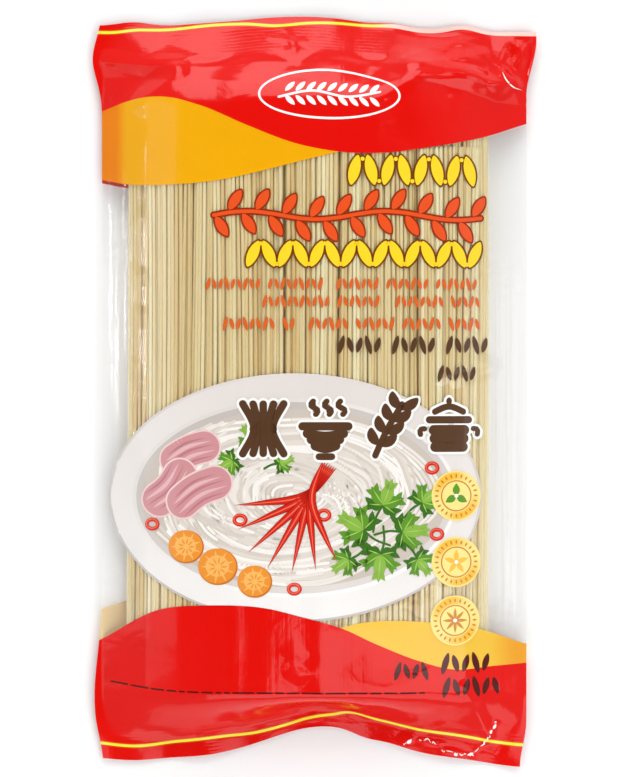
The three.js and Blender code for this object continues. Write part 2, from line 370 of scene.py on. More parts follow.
# Crumples: a middle x, y and height, then the corners of the ring round it that stays as it was.
CRUMPLES = (
    (62.8, 137.0, 1.9, ((36, 133.4), (62, 144.5), (78, 141.5), (69, 127.3), (53.4, 130.0))),
    (78.0, 136.0, -1.9, ((70, 128), (71, 142), (78.5, 147.5), (85.5, 141), (83, 127))),
    (80.5, 127.0, 1.5, ((69, 126), (78.5, 133), (89, 126), (86, 118), (74, 119))),
    (86.0, 139.5, 1.4, ((80, 131), (81, 147), (90.5, 147), (90, 132))),
    (48.0, 141.5, 1.1, ((33, 135), (43, 149), (64, 147), (60, 139))),
    (55.0, 122.0, -0.7, ((36, 120), (50, 130), (72, 125), (68, 114), (44, 110))),
    (-70.0, 129.0, -1.5, ((-90, 136), (-60.5, 134.5), (-56, 130), (-67, 121.5), (-86, 116))),
    (-58.0, 136.5, 0.9, ((-74, 136.5), (-60, 143), (-45, 138), (-56, 131))),
    (-8.0, 138.5, 0.7, ((-15, 138), (-8, 146), (-1, 139), (-7, 133))),
    (8.0, 132.0, 0.5, ((-14, 130), (4, 141), (34, 135), (12, 124))),
    (-30.0, 126.0, 0.5, ((-48, 128), (-28, 136), (-14, 126), (-32, 118))),
    (70.0, -140.0, 1.3, ((57, -136), (67, -130), (81, -138), (83, -149), (66, -150))),
    (76.0, -146.5, -0.8, ((68, -146), (76, -140), (84, -146), (77, -151))),
    (45.0, -146.5, 0.9, ((35, -145), (46, -140), (57, -145), (48, -151))),
    (56.0, -128.0, 0.7, ((40, -130), (54, -119), (74, -126), (60, -136))),
    (-52.0, -139.0, 0.6, ((-76, -144), (-56, -134), (-24, -136), (-50, -146))),
    (-2.0, -131.5, 0.6, ((-32, -135), (-4, -126), (26, -128), (0, -136))),
    (-20.0, -116.0, 0.35, ((-48, -118), (-22, -106), (6, -114), (-18, -124))),
    (30.0, -112.0, 0.4, ((6, -114), (28, -102), (52, -110), (32, -122))),
    (-66.0, 104.0, 0.3, ((-78, 98), (-68, 114), (-56, 106), (-64, 92))),
    (-40.0, 104.0, -0.25, ((-56, 104), (-40, 114), (-26, 103), (-42, 94))),
    (-8.0, -106.0, 0.3, ((-15, -105), (-8, -99), (-1, -107), (-8, -112))),
    (-6.0, -115.0, 0.35, ((-13, -115), (-8, -110), (1, -114), (-5, -120))),
    (63.0, 10.5, 0.7, ((53, 6), (56, 12.5), (66, 15), (77, 10), (70, 5), (60, 4.5))),
    (50.0, 5.0, 0.35, ((43.5, 3.4), (50, 6.6), (56, 7.5), (56, 5), (50, 3.4))),
    (-71.0, 71.0, 0.6, ((-76, 66), (-75, 75), (-67, 76), (-65, 69), (-70, 65))),
    (-72.0, 47.0, 0.6, ((-76, 42), (-75, 54), (-68, 50), (-67, 44))),
    (-70.5, 31.0, 0.55, ((-76, 28), (-74, 36), (-66, 34), (-65, 28), (-70, 26))),
    (-73.0, 10.0, 0.5, ((-77, 5), (-76, 16), (-70, 12), (-69, 6))),
    (-60.0, -1.5, 0.45, ((-66, -3), (-62, 3), (-54, 1), (-55, -4), (-61, -5))),
    (-74.0, -20.0, 0.4, ((-78, -26), (-76, -14), (-71, -18), (-71, -25))),
)


def crumples(x, y):
    """Faceted peaks and dents with straight, sharp creases."""
    total = np.zeros_like(x)
    for cx, cy, height, ring in CRUMPLES:
        for (ax, ay), (bx, by) in zip(ring, ring[1:] + ring[:1]):
            area = (ax - cx) * (by - cy) - (bx - cx) * (ay - cy)
            to_a = ((x - cx) * (by - cy) - (bx - cx) * (y - cy)) / area
            to_b = ((ax - cx) * (y - cy) - (x - cx) * (ay - cy)) / area
            within = (to_a >= 0) & (to_b > 0) & (to_a + to_b < 1)
            total += np.where(within, height * (1 - to_a - to_b), 0.0)
    return total


def zigzag(value):
    return np.abs(value - np.floor(value) - 0.5) * 2.0


# The slack film's facets: the turn in degrees, the length and the height of each set of creases.
FACETS = ((12, 23, 0.9), (74, 31, 1.0), (118, 19, 0.7), (151, 27, 0.8))
FACET_MEAN = 1.7
FACET_WARP_X = ((3.0, 17.0, 0.6),)
FACET_WARP_Y = ((2.4, 21.0, 1.9),)


def facets(x, y):
    """Shallow flat facets between straight creases that run several ways."""
    warp_x = x + waves(y, FACET_WARP_X)
    warp_y = y + waves(x, FACET_WARP_Y)
    total = -FACET_MEAN
    for turn, length, share in FACETS:
        angle = math.radians(turn)
        run = warp_x * math.cos(angle) + warp_y * math.sin(angle)
        total = total + share * zigzag(run / length)
    return total


HEAD_SLACK = Sizes(start=84.0, fade=38.0, least=0.3, right=0.5, right_from=15.0, right_fade=35.0)
FOOT_SLACK = Sizes(start=104.0, fade=30.0, least=0.3, corner=0.25, middle=8.0, corner_from=22.0,
                   corner_fade=30.0)


def slack(x, along):
    """How loose the film is: most at the right of the head and in the foot's corners."""
    right = smooth((x - HEAD_SLACK.right_from) / HEAD_SLACK.right_fade)
    corner = smooth((np.abs(x - FOOT_SLACK.middle) - FOOT_SLACK.corner_from) / FOOT_SLACK.corner_fade)
    head = smooth((along - HEAD_SLACK.start) / HEAD_SLACK.fade)
    foot = smooth((-along - FOOT_SLACK.start) / FOOT_SLACK.fade)
    return (head * (HEAD_SLACK.least + HEAD_SLACK.right * right)
            + foot * (FOOT_SLACK.least + FOOT_SLACK.corner * corner))


def closeness(x, y, along):
    """1 where both films lie together, in the fins and at the side creases."""
    thickness = solid_top(x, y, along) - solid_bottom(x, along)
    return 1.0 - smooth((thickness - BAG.fin) / FILM.close)


def front_height(x, y, along, over_sticks=False):
    """The front film. over_sticks gives a level that clears the relief of the single sticks."""
    close = closeness(x, y, along)
    off_block = np.abs(x - BLOCK.centre) - BLOCK.half_width
    held = 1.0 - down(x, along)
    printed = smooth((np.abs(along) - FILM.ends_from) / FILM.ends_fade)
    single = FILM.stick if over_sticks else stick_relief(x)
    single = single * on_block(x) * (1.0 - FILM.end_stick * printed)
    bunches = FILM.bunch * waves(x, BUNCH_WAVES) * on_block(x)
    pleats = np.sin(x * PLEATS.fine) + np.sin(x * PLEATS.broad + y / PLEATS.slant)
    pleats = FILM.pleat * smooth(off_block / FILM.pleat_fade) * pleats
    pleats = pleats * (1.0 - FILM.end_pleat * printed)
    loose = FILM.crumple * slack(x, along) * facets(x, y) * (1.0 - FILM.closed_crumple * close)
    relief = held * (bunches + single) + pleats + loose + crumples(x, y) + crease_height(x, y, WRINKLES)
    return solid_top(x, y, along) - FILM.inset * close + relief * inside(x, y, along)


def before_gathering(x, y):
    """The film's place along that comes to lie at y, to first order."""
    return 2 * y - lies_at(x, y)


def back_height(x, y, along):
    close = closeness(x, y, along)
    rest = solid_bottom(x, along) + mix(FILM.off_table, FILM.inset, close)
    return np.minimum(rest, front_height(x, y, along) - FILM.weld_gap)


# The outline's own middle is shifted onto the frame's, as the solid's is.
OUTLINE_STEPS = 400
ALONG = np.linspace(-BAG.half_length, BAG.half_length, OUTLINE_STEPS)
ACROSS = np.linspace(left_side(ALONG).min(), right_side(ALONG).max(), OUTLINE_STEPS)
SHIFT_X = CAD_BOX[1][0] / MM - right_side(ALONG).max()
SHIFT_Y = CAD_BOX[1][1] / MM - head_edge(ACROSS).max()

# ---- Meshes ----

WELD_DISTANCE = 2e-6


def grid_quads(rows, columns):
    """Quads that face up where rows run towards the foot and columns to the right."""
    first = (np.arange(rows - 1)[:, None] * columns + np.arange(columns - 1)[None, :]).ravel()
    return np.stack([first, first + columns, first + columns + 1, first + 1], axis=1)


def tube_quads(rings, sides):
    """Quads round a tube, ring after ring."""
    ring = np.arange(sides)
    after = (ring + 1) % sides
    first = np.arange(rings - 1)[:, None] * sides
    return np.stack([first + ring, first + sides + ring, first + sides + after, first + after],
                    axis=-1).reshape(-1, 4)


def make_piece(name, points, quads, materials, place, slots=None, inks=None):
    """A smooth mesh of quads, from points in millimetres, that rides on the bag's body.

    place is a pair of film coordinates a point, slots a material and inks a colour a face.
    """
    mesh = bpy.data.meshes.new(name)
    shifted = (np.asarray(points, float) + [SHIFT_X, SHIFT_Y, 0.0]) * MM
    mesh.vertices.add(len(shifted))
    mesh.vertices.foreach_set("co", shifted.ravel())
    mesh.loops.add(quads.size)
    mesh.loops.foreach_set("vertex_index", quads.ravel().astype(np.int32))
    mesh.polygons.add(len(quads))
    mesh.polygons.foreach_set("loop_start", np.arange(0, quads.size, 4, dtype=np.int32))
    mesh.polygons.foreach_set("use_smooth", np.ones(len(quads), bool))
    if slots is not None:
        mesh.polygons.foreach_set("material_index", np.asarray(slots, np.int32))
    layer = mesh.uv_layers.new(name="film")
    layer.data.foreach_set("uv", np.asarray(place, float)[quads.ravel()].ravel())
    if inks is not None:
        colours = np.column_stack([inks, np.ones(len(inks))])
        attribute = mesh.color_attributes.new("ink", "FLOAT_COLOR", "CORNER")
        attribute.data.foreach_set("color", np.repeat(colours, 4, axis=0).ravel())
    for material in materials:
        mesh.materials.append(material)
    mesh.update(calc_edges=True)
    mesh.validate()
    piece = bpy.data.objects.new(name, mesh)
    bpy.context.scene.collection.objects.link(piece)
    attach(piece, BODY)
    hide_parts(NODE)
    return piece


def weld(piece):
    """Merges points that lie together and removes what is left of collapsed faces."""
    shape = bmesh.new()
    shape.from_mesh(piece.data)
    bmesh.ops.remove_doubles(shape, verts=shape.verts, dist=WELD_DISTANCE)
    bmesh.ops.dissolve_degenerate(shape, edges=shape.edges, dist=WELD_DISTANCE)
    loose = [vertex for vertex in shape.verts if not vertex.link_faces]
    bmesh.ops.delete(shape, geom=loose, context="VERTS")
    shape.to_mesh(piece.data)
    shape.free()


# ---- Shader node helpers ----


def connect(tree, socket, value):
    if isinstance(value, bpy.types.NodeSocket):
        tree.links.new(value, socket)
    else:
        socket.default_value = value


def add_node(tree, kind, inputs, **settings):
    """The outputs of a new node. inputs maps a socket to a value or to another node's output."""
    made = tree.nodes.new(kind)
    for name, value in settings.items():
        setattr(made, name, value)
    for socket, value in inputs.items():
        connect(tree, made.inputs[socket], value)
    return made.outputs


def maths(tree, operation, a, b=0.0, clamp=False):
    return add_node(tree, "ShaderNodeMath", {0: a, 1: b}, operation=operation, use_clamp=clamp)[0]


def plus(tree, a, b, clamp=False):
    return maths(tree, "ADD", a, b, clamp)


def times(tree, a, b):
    return maths(tree, "MULTIPLY", a, b)


def map_range(tree, value, start, end, low, high):
    return add_node(tree, "ShaderNodeMapRange", {"Value": value, "From Min": start, "From Max": end,
                                                 "To Min": low, "To Max": high})[0]


def blend_colours(tree, share, a, b):
    return add_node(tree, "ShaderNodeMix", {0: share, 6: a, 7: b}, data_type="RGBA")[2]


def noise(tree, place, scale, detail=2.0, distortion=0.0):
    return add_node(tree, "ShaderNodeTexNoise", {"Vector": place, "Scale": scale, "Detail": detail,
                                                 "Distortion": distortion})[0]


def stretch(tree, place, x, y):
    return add_node(tree, "ShaderNodeVectorMath", {0: place, 1: (x, y, 1.0)}, operation="MULTIPLY")[0]


def brighten(tree, colour, factor):
    return add_node(tree, "ShaderNodeVectorMath", {0: colour, 3: factor}, operation="SCALE")[0]


FLOAT = "NodeSocketFloat"
COLOUR = "NodeSocketColor"
VECTOR = "NodeSocketVector"
GROUPS = {}
WELDS = Sizes(start=137.0, dull_start=136.0, end=139.0)
# Scales of the noise in the groups, per millimetre of film, and the weights of what they mix.
CRINKLE = Sizes(streaks=0.9, streak_stretch=0.035, dents=0.11, bent=0.4, ribs=4.6, wander=0.08, wander_by=9.0)
MOTTLE = Sizes(clouds=0.045, specks=1.4, cloud_share=0.6, speck_share=0.4)
TONE = Sizes(along=7.0, along_share=0.4, grit=60.0)


def new_group(name, inputs, outputs):
    """A shader node group. inputs and outputs map a socket's name to its kind."""
    tree = bpy.data.node_groups.new(name, "ShaderNodeTree")
    for label, kind in inputs.items():
        tree.interface.new_socket(label, in_out="INPUT", socket_type=kind)
    for label, kind in outputs.items():
        tree.interface.new_socket(label, in_out="OUTPUT", socket_type=kind)
    return tree, tree.nodes.new("NodeGroupInput").outputs, tree.nodes.new("NodeGroupOutput").inputs


def use_group(tree, build, inputs):
    """Places a shared group, built the first time, with this material's own values."""
    if build not in GROUPS:
        GROUPS[build] = build()
    made = tree.nodes.new("ShaderNodeGroup")
    made.node_tree = GROUPS[build]
    for name, value in inputs.items():
        connect(tree, made.inputs[name], value)
    return made.outputs


def film_crinkle():
    """Height of fine film detail: long faint streaks, small dents, and the ribs of the end welds."""
    tree, source, result = new_group(
        "Film Crinkle", {"Place": VECTOR, "Streaks": FLOAT, "Dents": FLOAT, "Ribs": FLOAT}, {"Height": FLOAT})
    streaks = noise(tree, stretch(tree, source["Place"], 1.0, CRINKLE.streak_stretch), CRINKLE.streaks, 3.0)
    dents = noise(tree, source["Place"], CRINKLE.dents, distortion=CRINKLE.bent)
    ridge = maths(tree, "ABSOLUTE", maths(tree, "SUBTRACT", dents, 0.5))
    along = add_node(tree, "ShaderNodeSeparateXYZ", {0: source["Place"]})[1]
    wander = times(tree, noise(tree, source["Place"], CRINKLE.wander), CRINKLE.wander_by)
    rib = maths(tree, "SINE", plus(tree, times(tree, along, CRINKLE.ribs), wander))
    in_weld = map_range(tree, maths(tree, "ABSOLUTE", along), WELDS.start, WELDS.end, 0.0, 1.0)
    ribs = times(tree, times(tree, rib, in_weld), source["Ribs"])
    total = plus(tree, times(tree, streaks, source["Streaks"]), times(tree, ridge, source["Dents"]))
    tree.links.new(plus(tree, total, ribs), result["Height"])
    return tree


def soft_mottle():
    """A colour with faint clouds and specks, as of ink on film."""
    tree, source, result = new_group(
        "Soft Mottle", {"Place": VECTOR, "Color": COLOUR, "Amount": FLOAT}, {"Color": COLOUR})
    cloud = noise(tree, source["Place"], MOTTLE.clouds, 3.0)
    speck = noise(tree, source["Place"], MOTTLE.specks)
    shade = plus(tree, times(tree, cloud, MOTTLE.cloud_share), times(tree, speck, MOTTLE.speck_share))
    amount = times(tree, maths(tree, "SUBTRACT", shade, 0.5), source["Amount"])
    tree.links.new(brighten(tree, source["Color"], plus(tree, amount, 1.0)), result["Color"])
    return tree


def stick_tone():
    """Ivory that differs from stick to stick and a little along each."""
    tree, source, result = new_group(
        "Stick Tone", {"Stick": VECTOR, "Pale": COLOUR, "Middle": COLOUR, "Deep": COLOUR},
        {"Color": COLOUR, "Height": FLOAT})
    own = add_node(tree, "ShaderNodeSeparateXYZ", {0: source["Stick"]})[0]
    wander = maths(tree, "SUBTRACT", noise(tree, source["Stick"], TONE.along), 0.5)
    tone = plus(tree, own, times(tree, wander, TONE.along_share), True)
    lower = blend_colours(tree, map_range(tree, tone, 0.0, 0.5, 0.0, 1.0), source["Deep"], source["Middle"])
    ivory = blend_colours(tree, map_range(tree, tone, 0.5, 1.0, 0.0, 1.0), lower, source["Pale"])
    tree.links.new(ivory, result["Color"])
    tree.links.new(noise(tree, source["Stick"], TONE.grit), result["Height"])
    return tree


# ---- Materials ----


def new_material(name):
    material = bpy.data.materials.new(name)
    material.use_nodes = True
    tree = material.node_tree
    tree.nodes.clear()
    return material, tree, tree.nodes.new("ShaderNodeOutputMaterial").inputs["Surface"]


def film_place(tree):
    return add_node(tree, "ShaderNodeUVMap", {}, uv_map="film")[0]


def film_bump(tree, place, streaks, dents, ribs, strength):
    inputs = {"Place": place, "Streaks": streaks, "Dents": dents, "Ribs": ribs}
    height = use_group(tree, film_crinkle, inputs)[0]
    return add_node(tree, "ShaderNodeBump", {"Height": height, "Strength": strength, "Distance": 0.0006})[0]


def clear_film_material(name, shine, haze):
    """Thin clear film: see-through and glossy, with a faint uneven haze."""
    material, tree, surface = new_material(name)
    place = film_place(tree)
    normal = film_bump(tree, place, 0.5, 0.8, 0.1, 0.35)
    facing = add_node(tree, "ShaderNodeLayerWeight", {"Blend": 0.5, "Normal": normal})["Facing"]
    glancing = times(tree, maths(tree, "POWER", facing, 5.0), 0.8)
    veil = times(tree, noise(tree, stretch(tree, place, 0.5, 0.012), 0.8), haze)
    share = plus(tree, plus(tree, glancing, shine), veil, True)
    gloss = add_node(tree, "ShaderNodeBsdfPrincipled", {
        "Base Color": (0.95, 0.96, 0.98, 1.0), "Metallic": 0.85, "Roughness": 0.09, "Normal": normal})[0]
    clear = add_node(tree, "ShaderNodeBsdfTransparent", {})[0]
    tree.links.new(add_node(tree, "ShaderNodeMixShader", {0: share, 1: clear, 2: gloss})[0], surface)
    return material


def printed_film_material(name, mottle):
    """Ink on the inside of glossy film, a little rougher in the welds."""
    material, tree, surface = new_material(name)
    place = film_place(tree)
    ink = add_node(tree, "ShaderNodeVertexColor", {}, layer_name="ink")["Color"]
    shade = use_group(tree, soft_mottle, {"Place": place, "Color": ink, "Amount": mottle})[0]
    along = add_node(tree, "ShaderNodeSeparateXYZ", {0: place})[1]
    roughness = map_range(tree, maths(tree, "ABSOLUTE", along), WELDS.dull_start, WELDS.end, 0.11, 0.15)
    gloss = add_node(tree, "ShaderNodeBsdfPrincipled", {
        "Base Color": shade, "Roughness": roughness, "Specular IOR Level": 0.27,
        "Normal": film_bump(tree, place, 0.15, 0.8, 0.04, 0.35)})[0]
    tree.links.new(gloss, surface)
    return material


def stick_material(name, pale, middle, deep, roughness):
    """Dried rice starch: smooth ivory that lets a little light through."""
    material, tree, surface = new_material(name)
    tone = use_group(tree, stick_tone, {"Stick": film_place(tree), "Pale": (*pale, 1.0),
                                        "Middle": (*middle, 1.0), "Deep": (*deep, 1.0)})
    normal = add_node(tree, "ShaderNodeBump", {"Height": tone[1], "Strength": 0.15, "Distance": 0.0002})[0]
    matter = add_node(tree, "ShaderNodeBsdfPrincipled", {
        "Base Color": tone[0], "Roughness": roughness, "Normal": normal, "Subsurface Weight": 0.3,
        "Subsurface Radius": (1.0, 0.62, 0.25), "Subsurface Scale": 0.001})[0]
    tree.links.new(matter, surface)
    return material


# ---- Settings ----


def colour_setting(name, description, default):
    return FloatVectorProperty(name=name, description=description, subtype="COLOR", default=default,
                               min=0.0, max=1.0)


class VermicelliBagSettings(bpy.types.PropertyGroup):
    """The bag's film and the colours of its print."""

    haze: FloatProperty(name="Film haze", description="Milky share of the clear film", default=0.02,
                        min=0.0, max=0.5, subtype="FACTOR")
    red: colour_setting("Red", "Main print colour of both ends", linear(225, 16, 9))
    yellow: colour_setting("Yellow", "Second print colour of the head", linear(238, 169, 10))
    foot_yellow: colour_setting("Foot yellow", "Paler yellow of the foot", linear(241, 194, 66))
    orange: colour_setting("Orange", "Yellow with the red of the back behind it", linear(233, 128, 4))
    stripe: colour_setting("Stripe", "Line along both cut ends", linear(255, 236, 66))
    border: colour_setting("Stripe border", "Thin borders of the stripes", linear(212, 88, 16))
    cream: colour_setting("Cream", "Pale print of the back", linear(241, 208, 148))
    brown: colour_setting("Brown", "The four pictograms and the small rows", linear(88, 60, 40))


class VermicelliStickSettings(bpy.types.PropertyGroup):
    """The rice sticks."""

    upper_layers: IntProperty(name="Upper layers", description="Layers of sticks under the front film",
                              default=3, min=1, max=6)
    lower_layers: IntProperty(name="Lower layers", description="Layers of sticks over the back film",
                              default=2, min=1, max=4)
    pale: colour_setting("Pale", "Palest stick", (0.87, 0.785, 0.51))
    middle: colour_setting("Middle", "Usual stick", (0.77, 0.62, 0.32))
    deep: colour_setting("Deep", "Deepest stick", (0.67, 0.47, 0.18))


class VermicelliStageSettings(bpy.types.PropertyGroup):
    """Floor, light and camera."""

    floor: colour_setting("Floor", "Colour of the floor", (0.97, 0.97, 0.97))
    light: FloatProperty(name="Light", description="Strength of all lights together", default=0.96,
                         min=0.0, max=10.0)
    lens: FloatProperty(name="Lens", description="Focal length in millimetres", default=135.0, min=10.0,
                        max=300.0)
    view_length: FloatProperty(name="View length", description="Length along the bag that the view takes in",
                               default=0.3211, unit="LENGTH")


# ---- Film ----

WINDOW_COLUMNS = 256
MARGIN_COLUMNS = (10, 16)
BACK_COLUMNS = 120
NO_INK = (1.0, 1.0, 1.0)
THIN_ROW = 0.01
FILM_SHINE = 0.055

# Borders of the printed fields, as x and along.
HEAD_RED_ENDS = ((-87.4, 116.0), (-76.3, 119.0), (-60.0, 120.4), (-46.8, 116.6), (-28.3, 108.4), (-6, 100.3),
                 (10.3, 97.4), (28.6, 97.0), (46.8, 99.5), (67.4, 103.8), (87.4, 111.2))
HEAD_YELLOW_ENDS = ((-87.4, 87.4), (-77.1, 85.2), (-55.0, 84.5), (-38.5, 86.0), (-22.2, 89.4), (-6, 93.5),
                    (10.3, 97.4), (30, 102), (90, 120))
FOOT_RED_STARTS = ((-87.8, -102.9), (-62.0, -88.6), (-42.5, -86.8), (-18.2, -88.1), (-3.9, -91.7),
                   (10.8, -95.7), (25.4, -102.3), (43.3, -109.5), (56.8, -113.2), (73.6, -112.6), (87, -112))
FOOT_YELLOW_STARTS = ((-88, -120), (-8, -100), (10.8, -95.7), (19.3, -93.8), (43.3, -93.4), (64.9, -96.3),
                      (87, -104.0))
HEAD_STRIPE = ((-87, 149.1), (-78, 148.4), (-62, 149.9), (-29, 150.2), (-16, 148.3), (-4, 149.2), (12, 150.2),
               (29, 150.8), (45, 151.1), (88, 151.3))
FOOT_STRIPE = ((-87, -145.8), (-69, -146.1), (-54, -145.3), (-37, -145.4), (-21, -147.8), (-10, -148.5),
               (0, -147.8), (9, -146.8), (21, -142.2), (29, -143.0), (45, -142.4), (87, -143.0))
STRIPE = Sizes(half=0.55, border=0.4)
# The head's stripe and its borders pale to this ink towards the right: a painted highlight along the fold.
STRIPE_HIGHLIGHT = Sizes(x=24.0, fade=12.0, ink=linear(250, 215, 205))
BACK_HEAD_ENDS = ((-88, 86.2), (-77, 84.3), (-40, 92), (20, 104), (88, 112))
BACK_FOOT_CREAM = ((-88, -90), (-76, -86), (-50, -84), (0, -90), (88, -106))
BACK_FOOT_RED = ((-88, -103), (-40, -96), (30, -104), (88, -112))
ORANGE_MARGIN = Sizes(x=-82.0, fade=5.5, right=70.0, right_fade=14.0, right_share=0.55)


def film_columns():
    """Nominal x of the film's columns, closest over the sticks."""
    first = BLOCK.centre - BLOCK.half_width
    last = BLOCK.centre + BLOCK.half_width
    return np.concatenate([
        np.linspace(BAG.left, first, MARGIN_COLUMNS[0], endpoint=False),
        np.linspace(first, last, WINDOW_COLUMNS, endpoint=False),
        np.linspace(last, BAG.right, MARGIN_COLUMNS[1] + 1)])


def film_rows(x, bands):
    """Rows of along values. bands are (the border that the band ends at, its rows, its ink), head to foot."""
    rows = [np.full_like(x, BAG.half_length)]
    inks = []
    for border, count, ink in bands:
        start = rows[-1]
        end = np.minimum(np.clip(border, -BAG.half_length, BAG.half_length), start)
        rows.extend(mix(start, end, (step + 1) / count) for step in range(count))
        inks.extend([ink] * count)
    return np.array(rows), inks


def film_sheet(name, x, along, inks, height, materials, faces_up, tint=None):
    """A sheet of film. A row with no ink is clear, and tint may change the inks by their place."""
    y = lies_at(x, along)
    points = np.stack([x, y, height(x, y, along)], axis=-1).reshape(-1, 3)
    quads = grid_quads(*along.shape)
    across = along.shape[1] - 1
    slots = np.repeat([ink is not None for ink in inks], across)
    colours = np.repeat([tuple(ink or NO_INK) for ink in inks], across, axis=0)
    if tint:
        colours = tint(colours, *points[quads].mean(axis=1)[:, :2].T)
    tall = np.abs(np.diff(along, axis=0))
    kept = np.maximum(tall[:, 1:], tall[:, :-1]).ravel() > THIN_ROW
    facing = quads[kept] if faces_up else quads[kept, ::-1]
    place = np.stack([x, along], axis=-1).reshape(-1, 2)
    weld(make_piece(name, points, facing, materials, place, slots[kept], colours[kept]))


def stretched(columns, along):
    """Where the film's columns lie between the two side creases."""
    return mix(left_side(along), right_side(along), (columns - BAG.left) / (BAG.right - BAG.left))


def front_bands(x, bag):
    head = through(HEAD_STRIPE, x)
    foot = through(FOOT_STRIPE, x)
    red_starts = through(FOOT_RED_STARTS, x)
    outer = STRIPE.half + STRIPE.border
    cut = np.full_like(x, -BAG.half_length)
    yellow_starts = np.maximum(through(FOOT_YELLOW_STARTS, x), red_starts)
    return [
        (head + outer, 2, bag.red), (head + STRIPE.half, 1, bag.border), (head - STRIPE.half, 2, bag.stripe),
        (head - outer, 1, bag.border), (through(HEAD_RED_ENDS, x), 80, bag.red),
        (through(HEAD_YELLOW_ENDS, x), 28, bag.yellow), (yellow_starts, 130, None),
        (red_starts, 14, bag.foot_yellow), (foot + outer, 76, bag.red), (foot + STRIPE.half, 1, bag.border),
        (foot - STRIPE.half, 2, bag.stripe), (foot - outer, 1, bag.border), (cut, 14, bag.red)]


def back_bands(x, bag):
    cut = np.full_like(x, -BAG.half_length)
    return [(through(BACK_HEAD_ENDS, x), 50, bag.red), (through(BACK_FOOT_CREAM, x), 60, None),
            (through(BACK_FOOT_RED, x), 8, bag.cream), (cut, 46, bag.red)]


class VERMICELLI_OT_film(bpy.types.Operator):
    """Makes the front and back films with their printed fields."""

    bl_idname = "vermicelli.film"
    bl_label = "Bag Film"

    def execute(self, context):
        bag = context.scene.vermicelli_bag

        def change_ink(colours, old, new, share):
            same = np.all(np.isclose(colours, tuple(old)), axis=1)[:, None]
            return np.where(same, mix(colours, np.array(tuple(new)), share[:, None]), colours)

        def margin_orange_and_stripe_highlight(colours, x, y):
            """Orange margins for both yellows, and a painted highlight that pales the head's stripe to the
            right.
            """
            margin = smooth((ORANGE_MARGIN.x + ORANGE_MARGIN.fade - x) / ORANGE_MARGIN.fade)
            # Painted highlight: the head's stripe and its borders fade to pale pink from x onwards.
            pale = smooth((x - STRIPE_HIGHLIGHT.x) / STRIPE_HIGHLIGHT.fade) * (y > 0)
            right = ORANGE_MARGIN.right_share * smooth((x - ORANGE_MARGIN.right) / ORANGE_MARGIN.right_fade)
            colours = change_ink(colours, bag.yellow, bag.orange, margin)
            colours = change_ink(colours, bag.foot_yellow, bag.orange, right)
            colours = change_ink(colours, bag.border, STRIPE_HIGHLIGHT.ink, pale)
            return change_ink(colours, bag.stripe, STRIPE_HIGHLIGHT.ink, pale)

        printed = printed_film_material("printed_film", 0.2)
        materials = [clear_film_material("clear_film", FILM_SHINE, bag.haze), printed]
        columns = film_columns()
        along, inks = film_rows(columns, front_bands(columns, bag))
        x = stretched(columns, along)
        film_sheet("film_front", x, along, inks, front_height, materials, True, margin_orange_and_stripe_highlight)
        materials = [clear_film_material("clear_back_film", FILM_SHINE / 2, bag.haze), printed]
        columns = np.linspace(BAG.left, BAG.right, BACK_COLUMNS)
        along, inks = film_rows(columns, back_bands(columns, bag))
        film_sheet("film_back", stretched(columns, along), along, inks, back_height, materials, False)
        return {"FINISHED"}


# The seam lies under the back film, lower by what its lap is thicker than the film.
SEAM = Sizes(x=-4.0, width=12.0, clear=4.0, columns=13, gap=0.02, taper=0.8, lap=0.14, film=0.1)


class VERMICELLI_OT_seam(bpy.types.Operator):
    """Makes the lap seam that closes the tube down the middle of the back."""

    bl_idname = "vermicelli.seam"
    bl_label = "Back Seam"

    def execute(self, context):
        bag = context.scene.vermicelli_bag
        columns = np.linspace(SEAM.x - SEAM.width / 2, SEAM.x + SEAM.width / 2, SEAM.columns)
        limit = BAG.half_length - SEAM.clear
        along, inks = film_rows(columns, back_bands(columns, bag))
        along = np.clip(along, -limit, limit)

        def under_back(x, y, along):
            edge = smooth((SEAM.width / 2 - np.abs(x - SEAM.x)) / SEAM.taper)
            return back_height(x, y, along) - SEAM.gap - (SEAM.lap - SEAM.film) * edge

        materials = [clear_film_material("seam_film", FILM_SHINE, bag.haze * 3),
                     printed_film_material("seam_print", 0.14)]
        film_sheet("back_seam", columns + 0 * along, along, inks, under_back, materials, False)
        return {"FINISHED"}


# ---- Sticks ----

STICK_SIDES = 8
# Places of a stick's rings along it, closest at its ends, where the film comes down.
STICK_RINGS = np.concatenate([np.linspace(0.0, 0.18, 11, endpoint=False),
                              np.linspace(0.18, 0.82, 8, endpoint=False), np.linspace(0.82, 1.0, 12)])
SLACK_FROM = 82.0
STICK_LEANS = ((0.7, 9.7, 1.0), (0.5, 4.3, 0.0))
STICK_SWAY = ((0.5, 58.0, 0.8),)
STICK_TONES = ((0.16, 1.1, 0.0), (0.14, 2.6, 1.0), (0.1, 7.3, 0.0))
MIDDLE_TONE = 0.54
STICK_ENDS = Sizes(first=100.0, last=132.0, steps=65, room=0.9)


